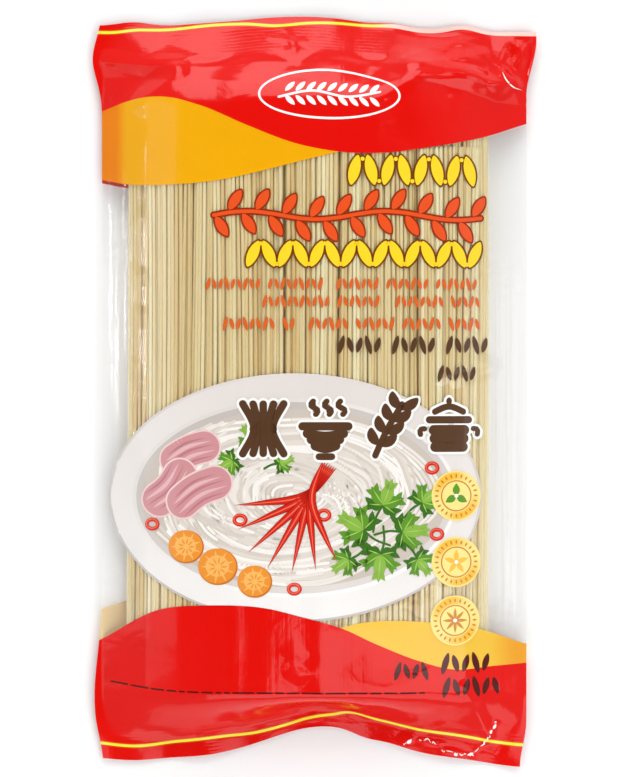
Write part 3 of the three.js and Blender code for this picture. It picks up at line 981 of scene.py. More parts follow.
def stick_mesh(name, x, z, starts, ends, radii, random, material):
    """Round sticks that run along Y at x and z, each slightly bowed, turned and uneven."""
    count = len(x)
    rings = len(STICK_RINGS)
    t = STICK_RINGS[None, :]
    y = mix(starts[:, None], ends[:, None], t)
    lean = waves(x, STICK_LEANS) + random.normal(0.0, UNEVEN.lean, count)
    bow = random.normal(0.0, UNEVEN.bow, count)[:, None] * np.sin(np.pi * t)
    middle_x = x[:, None] + lean[:, None] * (2 * t - 1) + bow + waves(y, STICK_SWAY)
    radius = radii[:, None] * (1.0 + UNEVEN.radius * random.standard_normal((count, rings)))
    along = before_gathering(middle_x, y)
    slack_room = STICKS.under_slack * smooth((np.abs(y) - SLACK_FROM) / FILM.edge)
    highest = front_height(middle_x, y, along) - radius - STICKS.under_film - slack_room
    lowest = under_block(middle_x) + radius + FILM.off_table + STICKS.under_film
    middle_z = np.clip(z[:, None], lowest, np.maximum(highest, lowest))
    angle = np.linspace(0.0, 2 * np.pi, STICK_SIDES, endpoint=False)
    points = np.stack([
        middle_x[:, :, None] + radius[:, :, None] * np.cos(angle),
        y[:, :, None] + 0 * angle,
        middle_z[:, :, None] + radius[:, :, None] * np.sin(angle)], axis=-1)
    per_stick = rings * STICK_SIDES
    cap = np.array([[0, 1, 2, 3], [0, 3, 4, 7], [4, 5, 6, 7]])
    last = per_stick - STICK_SIDES
    one = np.concatenate([tube_quads(rings, STICK_SIDES), cap, (cap + last)[:, ::-1]])
    quads = (one[None] + np.arange(count)[:, None, None] * per_stick).reshape(-1, 4)
    tone = waves(x, STICK_TONES, MIDDLE_TONE) + random.normal(0.0, UNEVEN.tone, count)
    tone = np.clip(tone, 0.0, 1.0)
    place = np.stack([np.repeat(tone, per_stick),
                      np.repeat((y / 100.0 + tone[:, None] * 37.0).ravel(), STICK_SIDES)], axis=-1)
    return make_piece(name, points.reshape(-1, 3), quads, [material], place)


def stick_ends(x, z, radius, random):
    """How far each stick reaches towards the foot and the head before the film comes down on it."""
    along = np.linspace(STICK_ENDS.first, STICK_ENDS.last, STICK_ENDS.steps)
    reach = []
    for side in (-1.0, 1.0):
        places = side * along[None, :] + 0 * x[:, None]
        wide = x[:, None] + 0 * places
        room = film_top(wide, places) - STICK_ENDS.room > (z + radius)[:, None]
        fits = np.cumprod(room, axis=1).sum(axis=1)
        limit = np.abs(lies_at(wide, places)[np.arange(len(x)), np.maximum(fits - 1, 0)])
        end = abs(BLOCK.head if side > 0 else BLOCK.foot)
        end = end - np.abs(random.normal(0.0, UNEVEN.end, len(x)))
        reach.append(side * np.minimum(limit, end))
    return reach


def shell_sticks(name, layers, from_top, random, material):
    """Layers of sticks that follow the top or the underside of the block."""
    parts = []
    for layer in range(layers):
        depth = STICKS.radius + STICKS.under_film + layer * STICKS.layer
        if from_top and layer == 0:
            places = TOP_PLACES[TOP_KEPT]
        elif from_top and layer == 1:
            places = (TOP_PLACES[1:] + TOP_PLACES[:-1]) / 2
        else:
            inset = STICKS.layer_inset + STICKS.layer_inset * layer
            places = places_across(STICKS.pitch, inset, random)
        limit = np.minimum(block_top(np.abs(places - BLOCK.centre)), over_block(places)) - STICKS.radius
        bottom = under_block(places) + FILM.off_table
        uneven = np.abs(random.normal(0.0, UNEVEN.depth, len(places)))
        z = over_block(places) - depth - uneven if from_top else bottom + depth + uneven
        z = np.minimum(z, limit)
        kept = z > bottom + STICKS.radius
        parts.append((places[kept], z[kept]))
    x, z = np.concatenate(parts, axis=1)
    radii = STICKS.radius * random.uniform(UNEVEN.thinnest, UNEVEN.thickest, len(x))
    starts, ends = stick_ends(x, z, radii, random)
    return stick_mesh(name, x, z, starts, ends, radii, random, material)


CORE = Sizes(top=4.0, bottom=2.9, side=7.0, end=4.0, ridge=0.35, thinnest=0.3, columns=260, rows=12, tone=0.3,
             tone_wave=9.1)


def core_mesh(material):
    """The middle of the block, ridged like the sticks, coloured in deeper tones as painted shade between
    them.
    """
    half = BLOCK.half_width - CORE.side
    x = np.linspace(BLOCK.centre - half, BLOCK.centre + half, CORE.columns)
    ridge = CORE.ridge * np.abs(np.sin(np.pi * x / STICKS.pitch))
    top = over_block(x) - CORE.top - ridge
    bottom = np.minimum(under_block(x) + CORE.bottom + ridge, top - CORE.thinnest)
    y = np.linspace(BLOCK.foot + CORE.end, BLOCK.head - CORE.end, CORE.rows)
    loop_x = np.concatenate([x, x[::-1]])
    loop_z = np.concatenate([top, bottom[::-1]])
    round_count = len(loop_x)
    points = np.stack(np.broadcast_arrays(loop_x, y[:, None], loop_z), axis=-1)
    step = np.arange(len(x) - 1)
    cap = np.stack([step, step + 1, round_count - 2 - step, round_count - 1 - step], axis=-1)
    last = (len(y) - 1) * round_count
    quads = np.concatenate([tube_quads(len(y), round_count), cap, (cap + last)[:, ::-1]])
    tone = CORE.tone + CORE.tone * np.sin(points[..., 0] * CORE.tone_wave)
    place = np.stack([tone, points[..., 1] / 100.0 + points[..., 0]], axis=-1).reshape(-1, 2)
    return make_piece("stick_core", points.reshape(-1, 3), quads, [material], place)


class VERMICELLI_OT_sticks(bpy.types.Operator):
    """Makes the block of rice sticks: its upper and lower layers, and the core between them."""

    bl_idname = "vermicelli.sticks"
    bl_label = "Rice Sticks"

    def execute(self, context):
        sticks = context.scene.vermicelli_sticks
        ivory = stick_material("rice_stick", sticks.pale, sticks.middle, sticks.deep, 0.4)
        # The core takes only the middle and deep tones: painted shade for the hollow between the sticks.
        shade = stick_material("rice_core_painted_shade", sticks.middle, sticks.deep, sticks.deep, 0.6)
        random = np.random.default_rng(STICKS.seed + 1)
        shell_sticks("sticks_upper", sticks.upper_layers, True, random, ivory)
        shell_sticks("sticks_lower", sticks.lower_layers, False, random, ivory)
        core_mesh(shade)
        return {"FINISHED"}


# ---- Print on the front film ----

PRINT = Sizes(lift=0.07, step=0.025, spacing=1.2, end_steps=8, fewest=10, most=130, thinnest=0.01,
              ring_steps=72)
INK = Sizes(
    white=linear(252, 250, 246), orange_red=linear(232, 84, 36), orange=linear(218, 100, 42),
    sun=linear(255, 214, 44), outline=linear(118, 62, 16), red_outline=linear(150, 44, 14),
    gold=linear(248, 190, 62), light_gold=linear(253, 228, 140), bronze=linear(206, 134, 44),
    green=linear(96, 150, 46), light_green=linear(138, 182, 72), deep_green=linear(62, 112, 36),
    leaf_vein=linear(168, 204, 104), deep_carrot=linear(206, 112, 34), carrot=linear(236, 148, 56),
    light_carrot=linear(247, 184, 100), chili=linear(212, 38, 26), dark_chili=linear(160, 26, 18),
    bright_chili=linear(240, 110, 84), pink=linear(208, 146, 150), deep_pink=linear(190, 124, 130),
    light_pink=linear(228, 182, 184), slice_edge=linear(238, 208, 204), bright_rim=linear(242, 239, 236),
    rim=linear(224, 216, 211), rim_edge=linear(196, 187, 182), well=linear(204, 193, 182),
    maroon=linear(84, 24, 20))
NOODLE_INKS = (linear(246, 241, 235), linear(236, 229, 221), linear(226, 217, 207), linear(217, 206, 195))
LEAF_SKEW = 0.8
GRAIN_FULLNESS = 0.62


def stroke_shape(share, slender):
    """Even width with round ends. slender is the length over the half width."""
    return np.sqrt(1.0 - (1.0 - np.clip(np.minimum(share, 1 - share) * slender, 0.0, 1.0)) ** 2)


def oval_shape(share, slender):
    return 2.0 * np.sqrt(share * (1 - share))


def leaf_shape(share, slender):
    return np.sin(np.pi * share ** LEAF_SKEW)


def grain_shape(share, slender):
    return np.sin(np.pi * share) ** GRAIN_FULLNESS


def near(angle, reach):
    """The point at a distance from the origin, towards an angle in degrees."""
    return np.array([math.cos(math.radians(angle)), math.sin(math.radians(angle))]) * reach


class Print:
    """Flat shapes of ink on the front film, gathered into one mesh. A higher level lies over a lower.

    An ink is a colour, or a function of x and along that gives one a face. Shapes stop at the border, a
    function of x, if there is one.
    """

    def __init__(self, border=None):
        self.border = border
        self.points = []
        self.quads = []
        self.inks = []
        self.places = []
        self.count = 0

    def patch(self, x, along, ink, level):
        if self.border:
            along = np.maximum(along, self.border(x))
        y = lies_at(x, along)
        z = front_height(x, y, along, over_sticks=True) + PRINT.lift + PRINT.step * level
        points = np.stack([x, y, z], axis=-1).reshape(-1, 3)
        quads = grid_quads(*x.shape)
        a, b, c = (points[quads[:, corner]] for corner in (0, 1, 2))
        faces_up = np.cross(b - a, c - a)[:, 2].sum() > 0
        self.quads.append((quads if faces_up else quads[:, ::-1]) + self.count)
        self.count += len(points)
        self.points.append(points)
        middles = points[quads].mean(axis=1)
        self.inks.append(ink(*middles[:, :2].T) if callable(ink) else np.tile(tuple(ink), (len(quads), 1)))
        self.places.append(np.stack([x, along], axis=-1).reshape(-1, 2))

    def ribbon(self, path, half, ink, level, shape=stroke_shape, grow=0.0):
        """A shape along a smooth path. grow makes it larger all round, for an outline."""
        line = smooth_line(path)
        for end, inner in ((0, 1), (-1, -2)):
            out = line[end] - line[inner]
            line[end] += out / np.hypot(*out) * grow
        length = run_lengths(line)
        steps = int(np.clip(length[-1] / PRINT.spacing + PRINT.end_steps, PRINT.fewest, PRINT.most))
        share = (1 - np.cos(np.linspace(0.0, np.pi, steps))) / 2
        centre = points_at(line, length, share * length[-1])
        tangent = np.gradient(centre, share, axis=0)
        tangent /= np.hypot(*tangent.T)[:, None]
        wide = (half + grow) * np.maximum(shape(share, length[-1] / (half + grow)), PRINT.thinnest)
        across = np.linspace(-1.0, 1.0, int(2 * half / PRINT.spacing) + 3)
        self.patch(centre[:, :1] - tangent[:, 1:] * wide[:, None] * across,
                   centre[:, 1:] + tangent[:, :1] * wide[:, None] * across, ink, level)

    def spot(self, x, along, length, width, angle, ink, level, shape=oval_shape, grow=0.0):
        """One oval, grain or leaf about a middle, turned by an angle in degrees from X."""
        middle = np.array([x, along])
        reach = near(angle, length / 2)
        self.ribbon([middle - reach, middle, middle + reach], width / 2, ink, level, shape, grow)

    def ring(self, x, along, radius_x, radius_y, half, ink, level, columns=2, steps=PRINT.ring_steps):
        angle = np.linspace(0.0, 2 * np.pi, steps + 1)
        out = np.linspace(-half, half, columns)[:, None]
        self.patch(x + (radius_x + out) * np.cos(angle), along + (radius_y + out) * np.sin(angle), ink, level)

    def finish(self, name):
        material = bpy.data.materials.get("printed_motifs") or printed_film_material("printed_motifs", 0.1)
        weld(make_piece(name, np.concatenate(self.points), np.concatenate(self.quads), [material],
                        np.concatenate(self.places), None, np.concatenate(self.inks)))


# Large rows of grains: first x, last x, along, height, width, step and lean in degrees.
UPPER_GRAINS = (13.0, 67.0, 90.0, 12.5, 4.6, 6.9, 14)
LOWER_GRAINS = (-28.0, 69.0, 56.0, 11.5, 4.4, 6.5, 24)
SPRIGS = (-41.5, 69.0, 71.6, 16.5, 5.4)  # first x, last x, along, size, step
GRAINS = Sizes(outline=0.75, dot=1.7, dot_at=0.36, dot_outline=0.7)
SPRIG = Sizes(outline=0.7, sway=0.1, sway_length=9.0, stem=0.75, knots=14, shift=1.2, out=0.3, long=0.56,
              wide=0.24, turn=58)


def grain_row(art, start, end, along, height, width, step, lean, ink, outline):
    """A row of grains that lean in turn to either side, with a dot in each gap."""
    count = int(round((end - start) / step))
    for number in range(count):
        x = mix(start, end, (number + 0.5) / count)
        side = 1 if number % 2 else -1
        dot = (x - step / 2, along + side * height * GRAINS.dot_at, GRAINS.dot, GRAINS.dot)
        for colour, level, grow in ((outline, 0, GRAINS.outline), (ink, 1, 0.0)):
            art.spot(x, along, height, width, 90 + lean * side, colour, level, grain_shape, grow)
            if number:
                art.spot(*dot, 0, colour, level, oval_shape, grow * GRAINS.dot_outline)


def sprig_row(art, start, end, along, size, step, ink, outline):
    """A stem that sways, with a grain on either side of it in turn."""
    count = int(round((end - start) / step))

    def sway(x):
        return along + size * SPRIG.sway * math.sin((x - start) / SPRIG.sway_length)

    stem = [(x, sway(x)) for x in np.linspace(start, end, SPRIG.knots)]
    for colour, level, grow in ((outline, 0, SPRIG.outline), (ink, 1, 0.0)):
        art.ribbon(stem, SPRIG.stem, colour, level, stroke_shape, grow)
        for number in range(count):
            x = mix(start, end, (number + 0.5) / count)
            side = 1 if number % 2 else -1
            art.spot(x + SPRIG.shift, sway(x) + side * size * SPRIG.out, size * SPRIG.long,
                     size * SPRIG.wide, side * SPRIG.turn, colour, level, grain_shape, grow)


class VERMICELLI_OT_titles(bpy.types.Operator):
    """Prints the three large rows of rice grains."""

    bl_idname = "vermicelli.titles"
    bl_label = "Large Rows"

    def execute(self, context):
        art = Print()
        grain_row(art, *UPPER_GRAINS, INK.sun, INK.outline)
        sprig_row(art, *SPRIGS, INK.orange_red, INK.red_outline)
        grain_row(art, *LOWER_GRAINS, INK.sun, INK.outline)
        art.finish("title_rows")
        return {"FINISHED"}


# Small rows: first x, last x, along, height and the count of strokes in each group.
ORANGE_ROWS = ((-43, 3, 43.8, 5.5, 9), (10, 69, 43.8, 5.5, 7), (-20, 28, 36.6, 5.5, 11),
               (34, 69, 36.6, 5.5, 8), (-36, -8, 27.6, 5.9, 8), (-1, 69, 27.6, 5.9, 6))
BROWN_ROWS = ((11.0, 71.0, 19.0, 8.0, 5), (51.6, 69.0, 7.4, 7.2, 5))
MAROON_ROWS = ((34.0, 50.5, -113.6, 8.0, 4), (53.5, 77.0, -110.8, 9.2, 5), (54.0, 80.0, -120.6, 9.0, 6))
FINE_LINE = ((-84, -119.3), (-63, -121.6), (-20, -122.4), (43, -122.6))
STROKES = Sizes(pitch=0.46, short=0.8, wide=0.29, turns=(74, 106))
DASH = Sizes(shortest=2.2, longest=9.0, gap=0.9, half_width=0.34, seed=5)


def stroke_row(art, start, end, along, height, group, ink):
    """Short leaning grains in groups, with a space after each group."""
    for number, x in enumerate(np.arange(start, end, height * STROKES.pitch)):
        if number % (group + 1) < group:
            tall = height * (STROKES.short if number % 3 else 1.0)
            art.spot(x, along, tall, height * STROKES.wide, STROKES.turns[number % 2], ink, 0, grain_shape)


class VERMICELLI_OT_small_rows(bpy.types.Operator):
    """Prints the small rows of short strokes, the marks at the foot and its fine broken line."""

    bl_idname = "vermicelli.small_rows"
    bl_label = "Small Rows"

    def execute(self, context):
        bag = context.scene.vermicelli_bag
        art = Print()
        for rows, ink in ((ORANGE_ROWS, INK.orange), (BROWN_ROWS, bag.brown), (MAROON_ROWS, INK.maroon)):
            for row in rows:
                stroke_row(art, *row, ink)
        random = np.random.default_rng(DASH.seed)
        start = FINE_LINE[0][0]
        while start < FINE_LINE[-1][0]:
            x = np.linspace(start, start + random.uniform(DASH.shortest, DASH.longest), 4)
            art.ribbon(np.stack([x, through(FINE_LINE, x)], axis=-1), DASH.half_width, INK.maroon, 0)
            start = x[-1] + DASH.gap
        art.finish("small_rows")
        return {"FINISHED"}


def bar(reach, y, half, middle=None):
    """A stroke across an icon, from one side of its middle to the other."""
    return [(-reach, y), (0.0, y if middle is None else middle), (reach, y)], half, stroke_shape


def bundle_icon():
    """Sticks tied by a band."""
    sticks = [([(offset, 11.5), (offset * 0.42, 0.0), (offset, -11.5)], 1.55, stroke_shape)
              for offset in (-9.0, -4.5, 0.0, 4.5, 9.0)]
    return sticks + [bar(5.6, 0.0, 2.4)]


def bowl_icon():
    """A bowl on its foot, with steam."""
    strokes = [bar(11.0, 1.0, 1.7), bar(4.0, -11.3, 1.4)]
    strokes += [bar(9.2 - 1.6 * drop, -1.6 - 2.3 * drop, 1.9, -3.0 - 2.5 * drop) for drop in range(3)]
    strokes += [([(x, 5.0), (x + 1.6, 7.4), (x - 1.4, 9.6), (x + 0.4, 12.0)], 1.15, stroke_shape)
                for x in (-4.6, 0.9, 6.4)]
    return strokes


def sprig_icon():
    """An ear of rice."""
    strokes = [([(-5.5, -12.0), (-1.0, -2.0), (6.5, 11.0)], 1.3, stroke_shape)]
    for step in range(4):
        x, y = -3.6 + 2.9 * step, -6.5 + 4.9 * step
        strokes.append(([(x, y), (x - 2.6, y + 3.4), (x - 3.2, y + 7.0)], 2.1, grain_shape))
        strokes.append(([(x, y), (x + 4.2, y + 1.4), (x + 7.4, y + 4.2)], 2.1, grain_shape))
    return strokes


def pot_icon():
    """A lidded pot."""
    strokes = [bar(9.6, 3.6, 1.5), bar(7.0, 6.4, 1.3, 9.0), bar(1.2, 11.2, 1.6)]
    strokes += [bar(8.4 - 0.3 * drop, -0.6 - 3.4 * drop, 2.1) for drop in range(3)]
    strokes += [([(side * 9.0, 0.0), (side * 11.8, -0.4), (side * 11.6, -3.4)], 1.1, stroke_shape)
                for side in (-1, 1)]
    return strokes


ICONS = Sizes(first=-20.6, step=25.2, along=-15.0, border=1.0, border_level=11, level=12)


class VERMICELLI_OT_icons(bpy.types.Operator):
    """Prints the four dark pictograms with their white borders."""

    bl_idname = "vermicelli.icons"
    bl_label = "Pictograms"

    def execute(self, context):
        brown = context.scene.vermicelli_bag.brown
        art = Print()
        for number, icon in enumerate((bundle_icon, bowl_icon, sprig_icon, pot_icon)):
            at = np.array([ICONS.first + ICONS.step * number, ICONS.along])
            for path, half, shape in icon():
                art.ribbon(np.array(path) + at, half, INK.white, ICONS.border_level, shape, ICONS.border)
                art.ribbon(np.array(path) + at, half, brown, ICONS.level, shape)
        art.finish("pictograms")
        return {"FINISHED"}


MEDALS = ((58.0, -42.4), (58.0, -69.4), (57.5, -93.2))
MEDAL = Sizes(radius=10.2, edge=0.3, face=0.66, line_at=0.6, line=0.28, marks_at=0.8, mark_step=15, mark=1.7,
              mark_width=0.8, petals_at=2.7, petal=5.0, petals_width=12.0, heart=1.6, shine_turn=0.6, level=9)


def golden(x, along):
    """An ink that shines like foil: pale and deep gold in turn round a medal's middle."""
    def ink(at_x, at_along):
        angle = np.arctan2(at_along - along, at_x - x)
        shine = smooth(0.5 + 0.5 * np.sin(2 * angle + MEDAL.shine_turn))[:, None]
        return mix(np.array(INK.gold), np.array(INK.light_gold), shine)
    return ink


class VERMICELLI_OT_medals(bpy.types.Operator):
    """Prints the three gold medals, each with its own motif."""

    bl_idname = "vermicelli.medals"
    bl_label = "Medals"

    def execute(self, context):
        art = Print()
        size = 2 * MEDAL.radius
        face = size * MEDAL.face
        edge = MEDAL.radius - MEDAL.edge
        line = MEDAL.radius * MEDAL.line_at
        level = MEDAL.level
        motifs = ((3, INK.green), (5, INK.gold), (8, INK.bronze))
        for (x, along), (petals, ink) in zip(MEDALS, motifs):
            art.spot(x, along, size, size, 0, golden(x, along), level)
            art.ring(x, along, edge, edge, MEDAL.edge, INK.light_gold, level + 0.5)
            art.spot(x, along, face, face, 0, INK.light_gold, level + 0.5)
            art.ring(x, along, line, line, MEDAL.line, INK.bronze, level + 1)
            for turn in range(0, 360, MEDAL.mark_step):
                mark = near(turn, MEDAL.radius * MEDAL.marks_at) + [x, along]
                art.spot(*mark, MEDAL.mark, MEDAL.mark_width, turn, INK.bronze, level + 1, grain_shape)
            for petal in range(petals):
                turn = 90 + 360 * petal / petals
                middle = near(turn, MEDAL.petals_at) + [x, along]
                width = MEDAL.petals_width / (petals + 1)
                art.spot(*middle, MEDAL.petal, width, turn, ink, level + 1, leaf_shape)
            art.spot(x, along, MEDAL.heart, MEDAL.heart, 0, INK.white, level + 2)
        art.finish("medals")
        return {"FINISHED"}


PLATE = Sizes(x=-8.0, along=-43.0, radius_x=76.0, radius_y=50.0, rim=12.5, steps=150, rings=29, bundles=12,
              strands=9, seed=23)
# Rosy slices: middle x and along, length, half width, turn in degrees and bend.
SLICES = ((-50, -26, 25, 6.2, 24, 2.0), (-60, -38, 26, 6.8, 48, -2.5), (-46, -42, 28, 6.6, 30, 2.5))
DISCS = ((-52, -63, 14), (-39, -71, 15.5), (-24, -77, 13.5))
# Leaves: x, along, size, and the way the tip points in degrees.
LEAVES = ((28, -46, 12, 70), (20, -56, 13, 150), (36, -57, 12, 5), (27, -66, 12, 265), (44, -45, 10, 40),
          (14, -68, 9, 215), (42, -68, 9, 310), (-24, -20, 9, 130), (-33, -28, 8, 210), (-14, -29, 7, 20))
RED_RINGS = ((50, -58), (48, -31), (-30, -52), (-8, -80), (4, -50), (-66, -54))
RED_RING = Sizes(radius_x=2.3, radius_y=1.9, half=0.75, shine=0.2, shine_shift=0.2, level=9.0)
SLICE = Sizes(edge=0.7, face_over=0.2, streaks_over=0.4, longest=0.92, shorter=0.3, streak=0.5, wider=0.3,
              streaks=(-0.62, -0.3, 0.05, 0.36, 0.66))
# Sizes of a leaf's parts as shares of its own size. Its lobes: lean in degrees, length and ink.
LEAF = Sizes(line=0.45, stalk_at=0.4, stalk_bend=0.08, width=0.42, notches=(-38, 38), notch_at=0.62,
             notch_out=0.16, notch=0.42, notch_width=0.2, vein=0.8, over=0.2, step=0.1, vein_over=0.8)
LOBES = ((-105, 0.55, INK.deep_green), (105, 0.55, INK.deep_green), (-52, 0.75, INK.green),
         (52, 0.75, INK.green), (0, 0.95, INK.light_green))
DISC = Sizes(tall=0.92, edge=0.3, shift=0.3, heart=0.62, heart_tall=0.56, turns=range(20, 380, 40))
# Rays of a disc, long and short: turn in degrees, how far out, length, width and ink.
RAYS = ((0, 0.3, 0.3, 0.8, INK.light_carrot), (20, 0.17, 0.2, 0.7, INK.carrot))
STRIPS = Sizes(count=7, x=9.0, along=-31.0, x_step=0.9, along_step=0.5, half=1.3, turn=200, turn_step=13,
               reach=50, shorter=2.5, longest=2.5, bend=6.0, bend_step=2.1, bend_at=0.35, curl_at=0.75,
               curl=0.5, outline=0.35, shine=0.3, face_over=0.12, shine_over=0.24)
WOUND = Sizes(first=0.6, outer=0.91, arcs=(0.7, 2.2), knots=9, half=0.6, gap=0.001)
# Waves of the wound strands by angle: rise, waves in a turn and phase.
WOUND_WAVES = ((0.05, 3, 0.5), (0.03, 5, 2.0))
LOOSE = Sizes(starts=(0.08, 0.7), sweeps=(0.8, 1.6), drift=0.3, spread=0.15, step=0.027, wave=0.012, knots=7,
              half=0.62, inner=0.03, outer=0.96)
# Levels of the plate's layers, and the step from one piece of a layer to the next.
STRAND_LEVEL = 2.4
BUNDLE_LEVEL, BUNDLE_STEP = 2.8, 0.28
SLICE_LEVEL, SLICE_STEP = 6.4, 0.7
DISC_LEVEL, DISC_STEP = 6.4, 0.2
LEAF_LEVEL, LEAF_STEP = 7.0, 0.15
STRIP_LEVEL, STRIP_STEP = 9.0, 0.25


def turned_mix(light, dark, at):
    """An ink that is light round the plate's middle one way, and dark towards the angle in degrees."""
    def ink(x, along):
        angle = np.arctan2(along - PLATE.along, x - PLATE.x)
        share = 0.5 + 0.5 * np.cos(angle - math.radians(at))
        return mix(np.array(light), np.array(dark), share[:, None])
    return ink


def plate_base(art):
    """The plate: its edge, its sloping rim, the shaded step inside the rim, and the well."""
    rim_x, rim_y = PLATE.radius_x - PLATE.rim / 2, PLATE.radius_y - PLATE.rim / 2
    step_x, step_y = PLATE.radius_x - PLATE.rim, PLATE.radius_y - PLATE.rim
    parts = ((rim_x, rim_y, PLATE.rim / 2, turned_mix(INK.bright_rim, INK.rim, 80), 1, 9),
             (PLATE.radius_x, PLATE.radius_y, 0.5, turned_mix(INK.rim, INK.rim_edge, 260), 2, 3),
             (step_x, step_y, 1.3, turned_mix(INK.rim, INK.rim_edge, 110), 2, 4),
             (step_x + 2.2, step_y + 2.2, 0.7, turned_mix(INK.white, INK.rim, 120), 2.2, 3))
    for radius_x, radius_y, half, ink, level, columns in parts:
        art.ring(PLATE.x, PLATE.along, radius_x, radius_y, half, ink, level, columns, PLATE.steps)
    art.spot(PLATE.x, PLATE.along, 2 * step_x, 2 * step_y, 0, INK.well, 1)


def plate_strand(art, angle, reach, half, random, level):
    """One pale strand, given by its angles round the plate and its reach as a share of the well."""
    path = np.stack([PLATE.x + reach * (PLATE.radius_x - PLATE.rim) * np.cos(angle),
                     PLATE.along + reach * (PLATE.radius_y - PLATE.rim) * np.sin(angle)], axis=-1)
    art.ribbon(path, half, NOODLE_INKS[random.integers(len(NOODLE_INKS))], level)


def plate_noodles(art, random):
    """Pale strands that wind round the well without crossing, and loose bundles that sweep over them."""
    for ring in range(PLATE.rings):
        turn = random.uniform(0, 2 * np.pi)
        end = turn + 2 * np.pi
        while turn < end:
            angle = np.linspace(turn, min(turn + random.uniform(*WOUND.arcs), end), WOUND.knots)
            sway = sum((rise * np.sin(count * angle + phase) for rise, count, phase in WOUND_WAVES), 1.0)
            reach = (ring + WOUND.first) / PLATE.rings * WOUND.outer * sway
            plate_strand(art, angle, reach, WOUND.half, random, STRAND_LEVEL)
            turn = angle[-1] + WOUND.gap
    share = np.linspace(0.0, 1.0, LOOSE.knots)
    for bundle in range(PLATE.bundles):
        turn = random.uniform(0, 2 * np.pi)
        first = random.uniform(*LOOSE.starts)
        sweep = random.uniform(*LOOSE.sweeps) * random.choice([-1, 1])
        drift = random.uniform(-LOOSE.drift, LOOSE.drift)
        level = BUNDLE_LEVEL + BUNDLE_STEP * bundle
        for strand in range(PLATE.strands):
            angle = turn + sweep * share + random.uniform(-LOOSE.spread, LOOSE.spread)
            reach = first + LOOSE.step * strand + drift * (share - 0.5)
            reach = reach + LOOSE.wave * np.sin(9 * share + strand)
            plate_strand(art, angle, np.clip(reach, LOOSE.inner, LOOSE.outer), LOOSE.half, random, level)


def rosy_slice(art, x, along, length, half, turn, bend, level):
    """A bent slice with a pale edge and fine streaks along it."""
    middle = np.array([x, along])
    reach = near(turn, length / 2)
    side = near(turn + 90, 1.0)
    path = np.array([middle - reach, middle + side * bend, middle + reach])
    art.ribbon(path, half, INK.slice_edge, level, stroke_shape, SLICE.edge)
    art.ribbon(path, half, INK.pink, level + SLICE.face_over)
    for number, offset in enumerate(SLICE.streaks):
        ink = INK.light_pink if number % 2 else INK.deep_pink
        share = SLICE.longest - SLICE.shorter * abs(offset)
        streak = middle + (path - middle) * share + side * half * offset
        wide = SLICE.streak + SLICE.wider * (number % 2)
        art.ribbon(streak, wide, ink, level + SLICE.streaks_over, leaf_shape)


def leaf(art, x, along, size, angle, level):
    """A feathery leaf of five notched lobes on a stalk."""
    middle = np.array([x, along])
    tip = near(angle, size)
    bend = near(angle + 90, size * LEAF.stalk_bend)
    art.ribbon([middle - tip, middle - tip * LEAF.stalk_at + bend, middle], LEAF.line, INK.deep_green, level)
    for number, (lean, length, ink) in enumerate(LOBES):
        turn = angle + lean
        over = level + LEAF.over + LEAF.step * number
        reach = near(turn, size * length)
        halfway = middle + reach * 0.5
        art.spot(*halfway, size * length, size * LEAF.width, turn, ink, over, leaf_shape)
        for notch in LEAF.notches:
            out = middle + reach * LEAF.notch_at + near(turn + notch, size * LEAF.notch_out)
            art.spot(*out, size * LEAF.notch, size * LEAF.notch_width, turn + notch, ink, over, leaf_shape)
        art.spot(*halfway, size * length * LEAF.vein, LEAF.line, turn, INK.leaf_vein,
                 level + LEAF.vein_over, leaf_shape)


def carrot_disc(art, x, along, size):
    """A round slice with a pale heart and rays."""
    edge, face, heart, *rays = (DISC_LEVEL + DISC_STEP * step for step in range(5))
    middle = (x - DISC.shift, along + DISC.shift)
    art.spot(x, along, size, size * DISC.tall, 0, INK.deep_carrot, edge, oval_shape, DISC.edge)
    art.spot(*middle, size, size * DISC.tall, 0, INK.carrot, face)
    art.spot(*middle, size * DISC.heart, size * DISC.heart_tall, 0, INK.light_carrot, heart)
    for first in DISC.turns:
        for (turn, at, length, width, ink), level in zip(RAYS, rays):
            ray = near(first + turn, size * at) + [x, along]
            art.spot(*ray, size * length, width, first + turn, ink, level, leaf_shape)


def red_strips(art):
    """A fan of thin red strips that start together and curl at their ends."""
    for number in range(STRIPS.count):
        angle = STRIPS.turn + STRIPS.turn_step * number
        start = np.array([STRIPS.x - STRIPS.x_step * number, STRIPS.along + STRIPS.along_step * number])
        end = start + near(angle, STRIPS.reach - STRIPS.shorter * abs(number - STRIPS.longest))
        bend = near(angle + 90, STRIPS.bend - STRIPS.bend_step * number)
        path = [start, mix(start, end, STRIPS.bend_at) + bend,
                mix(start, end, STRIPS.curl_at) + bend * STRIPS.curl, end]
        level = STRIP_LEVEL + STRIP_STEP * number
        art.ribbon(path, STRIPS.half, INK.dark_chili, level, leaf_shape, STRIPS.outline)
        art.ribbon(path, STRIPS.half, INK.chili, level + STRIPS.face_over, leaf_shape)
        art.ribbon(path, STRIPS.shine, INK.bright_chili, level + STRIPS.shine_over, leaf_shape)


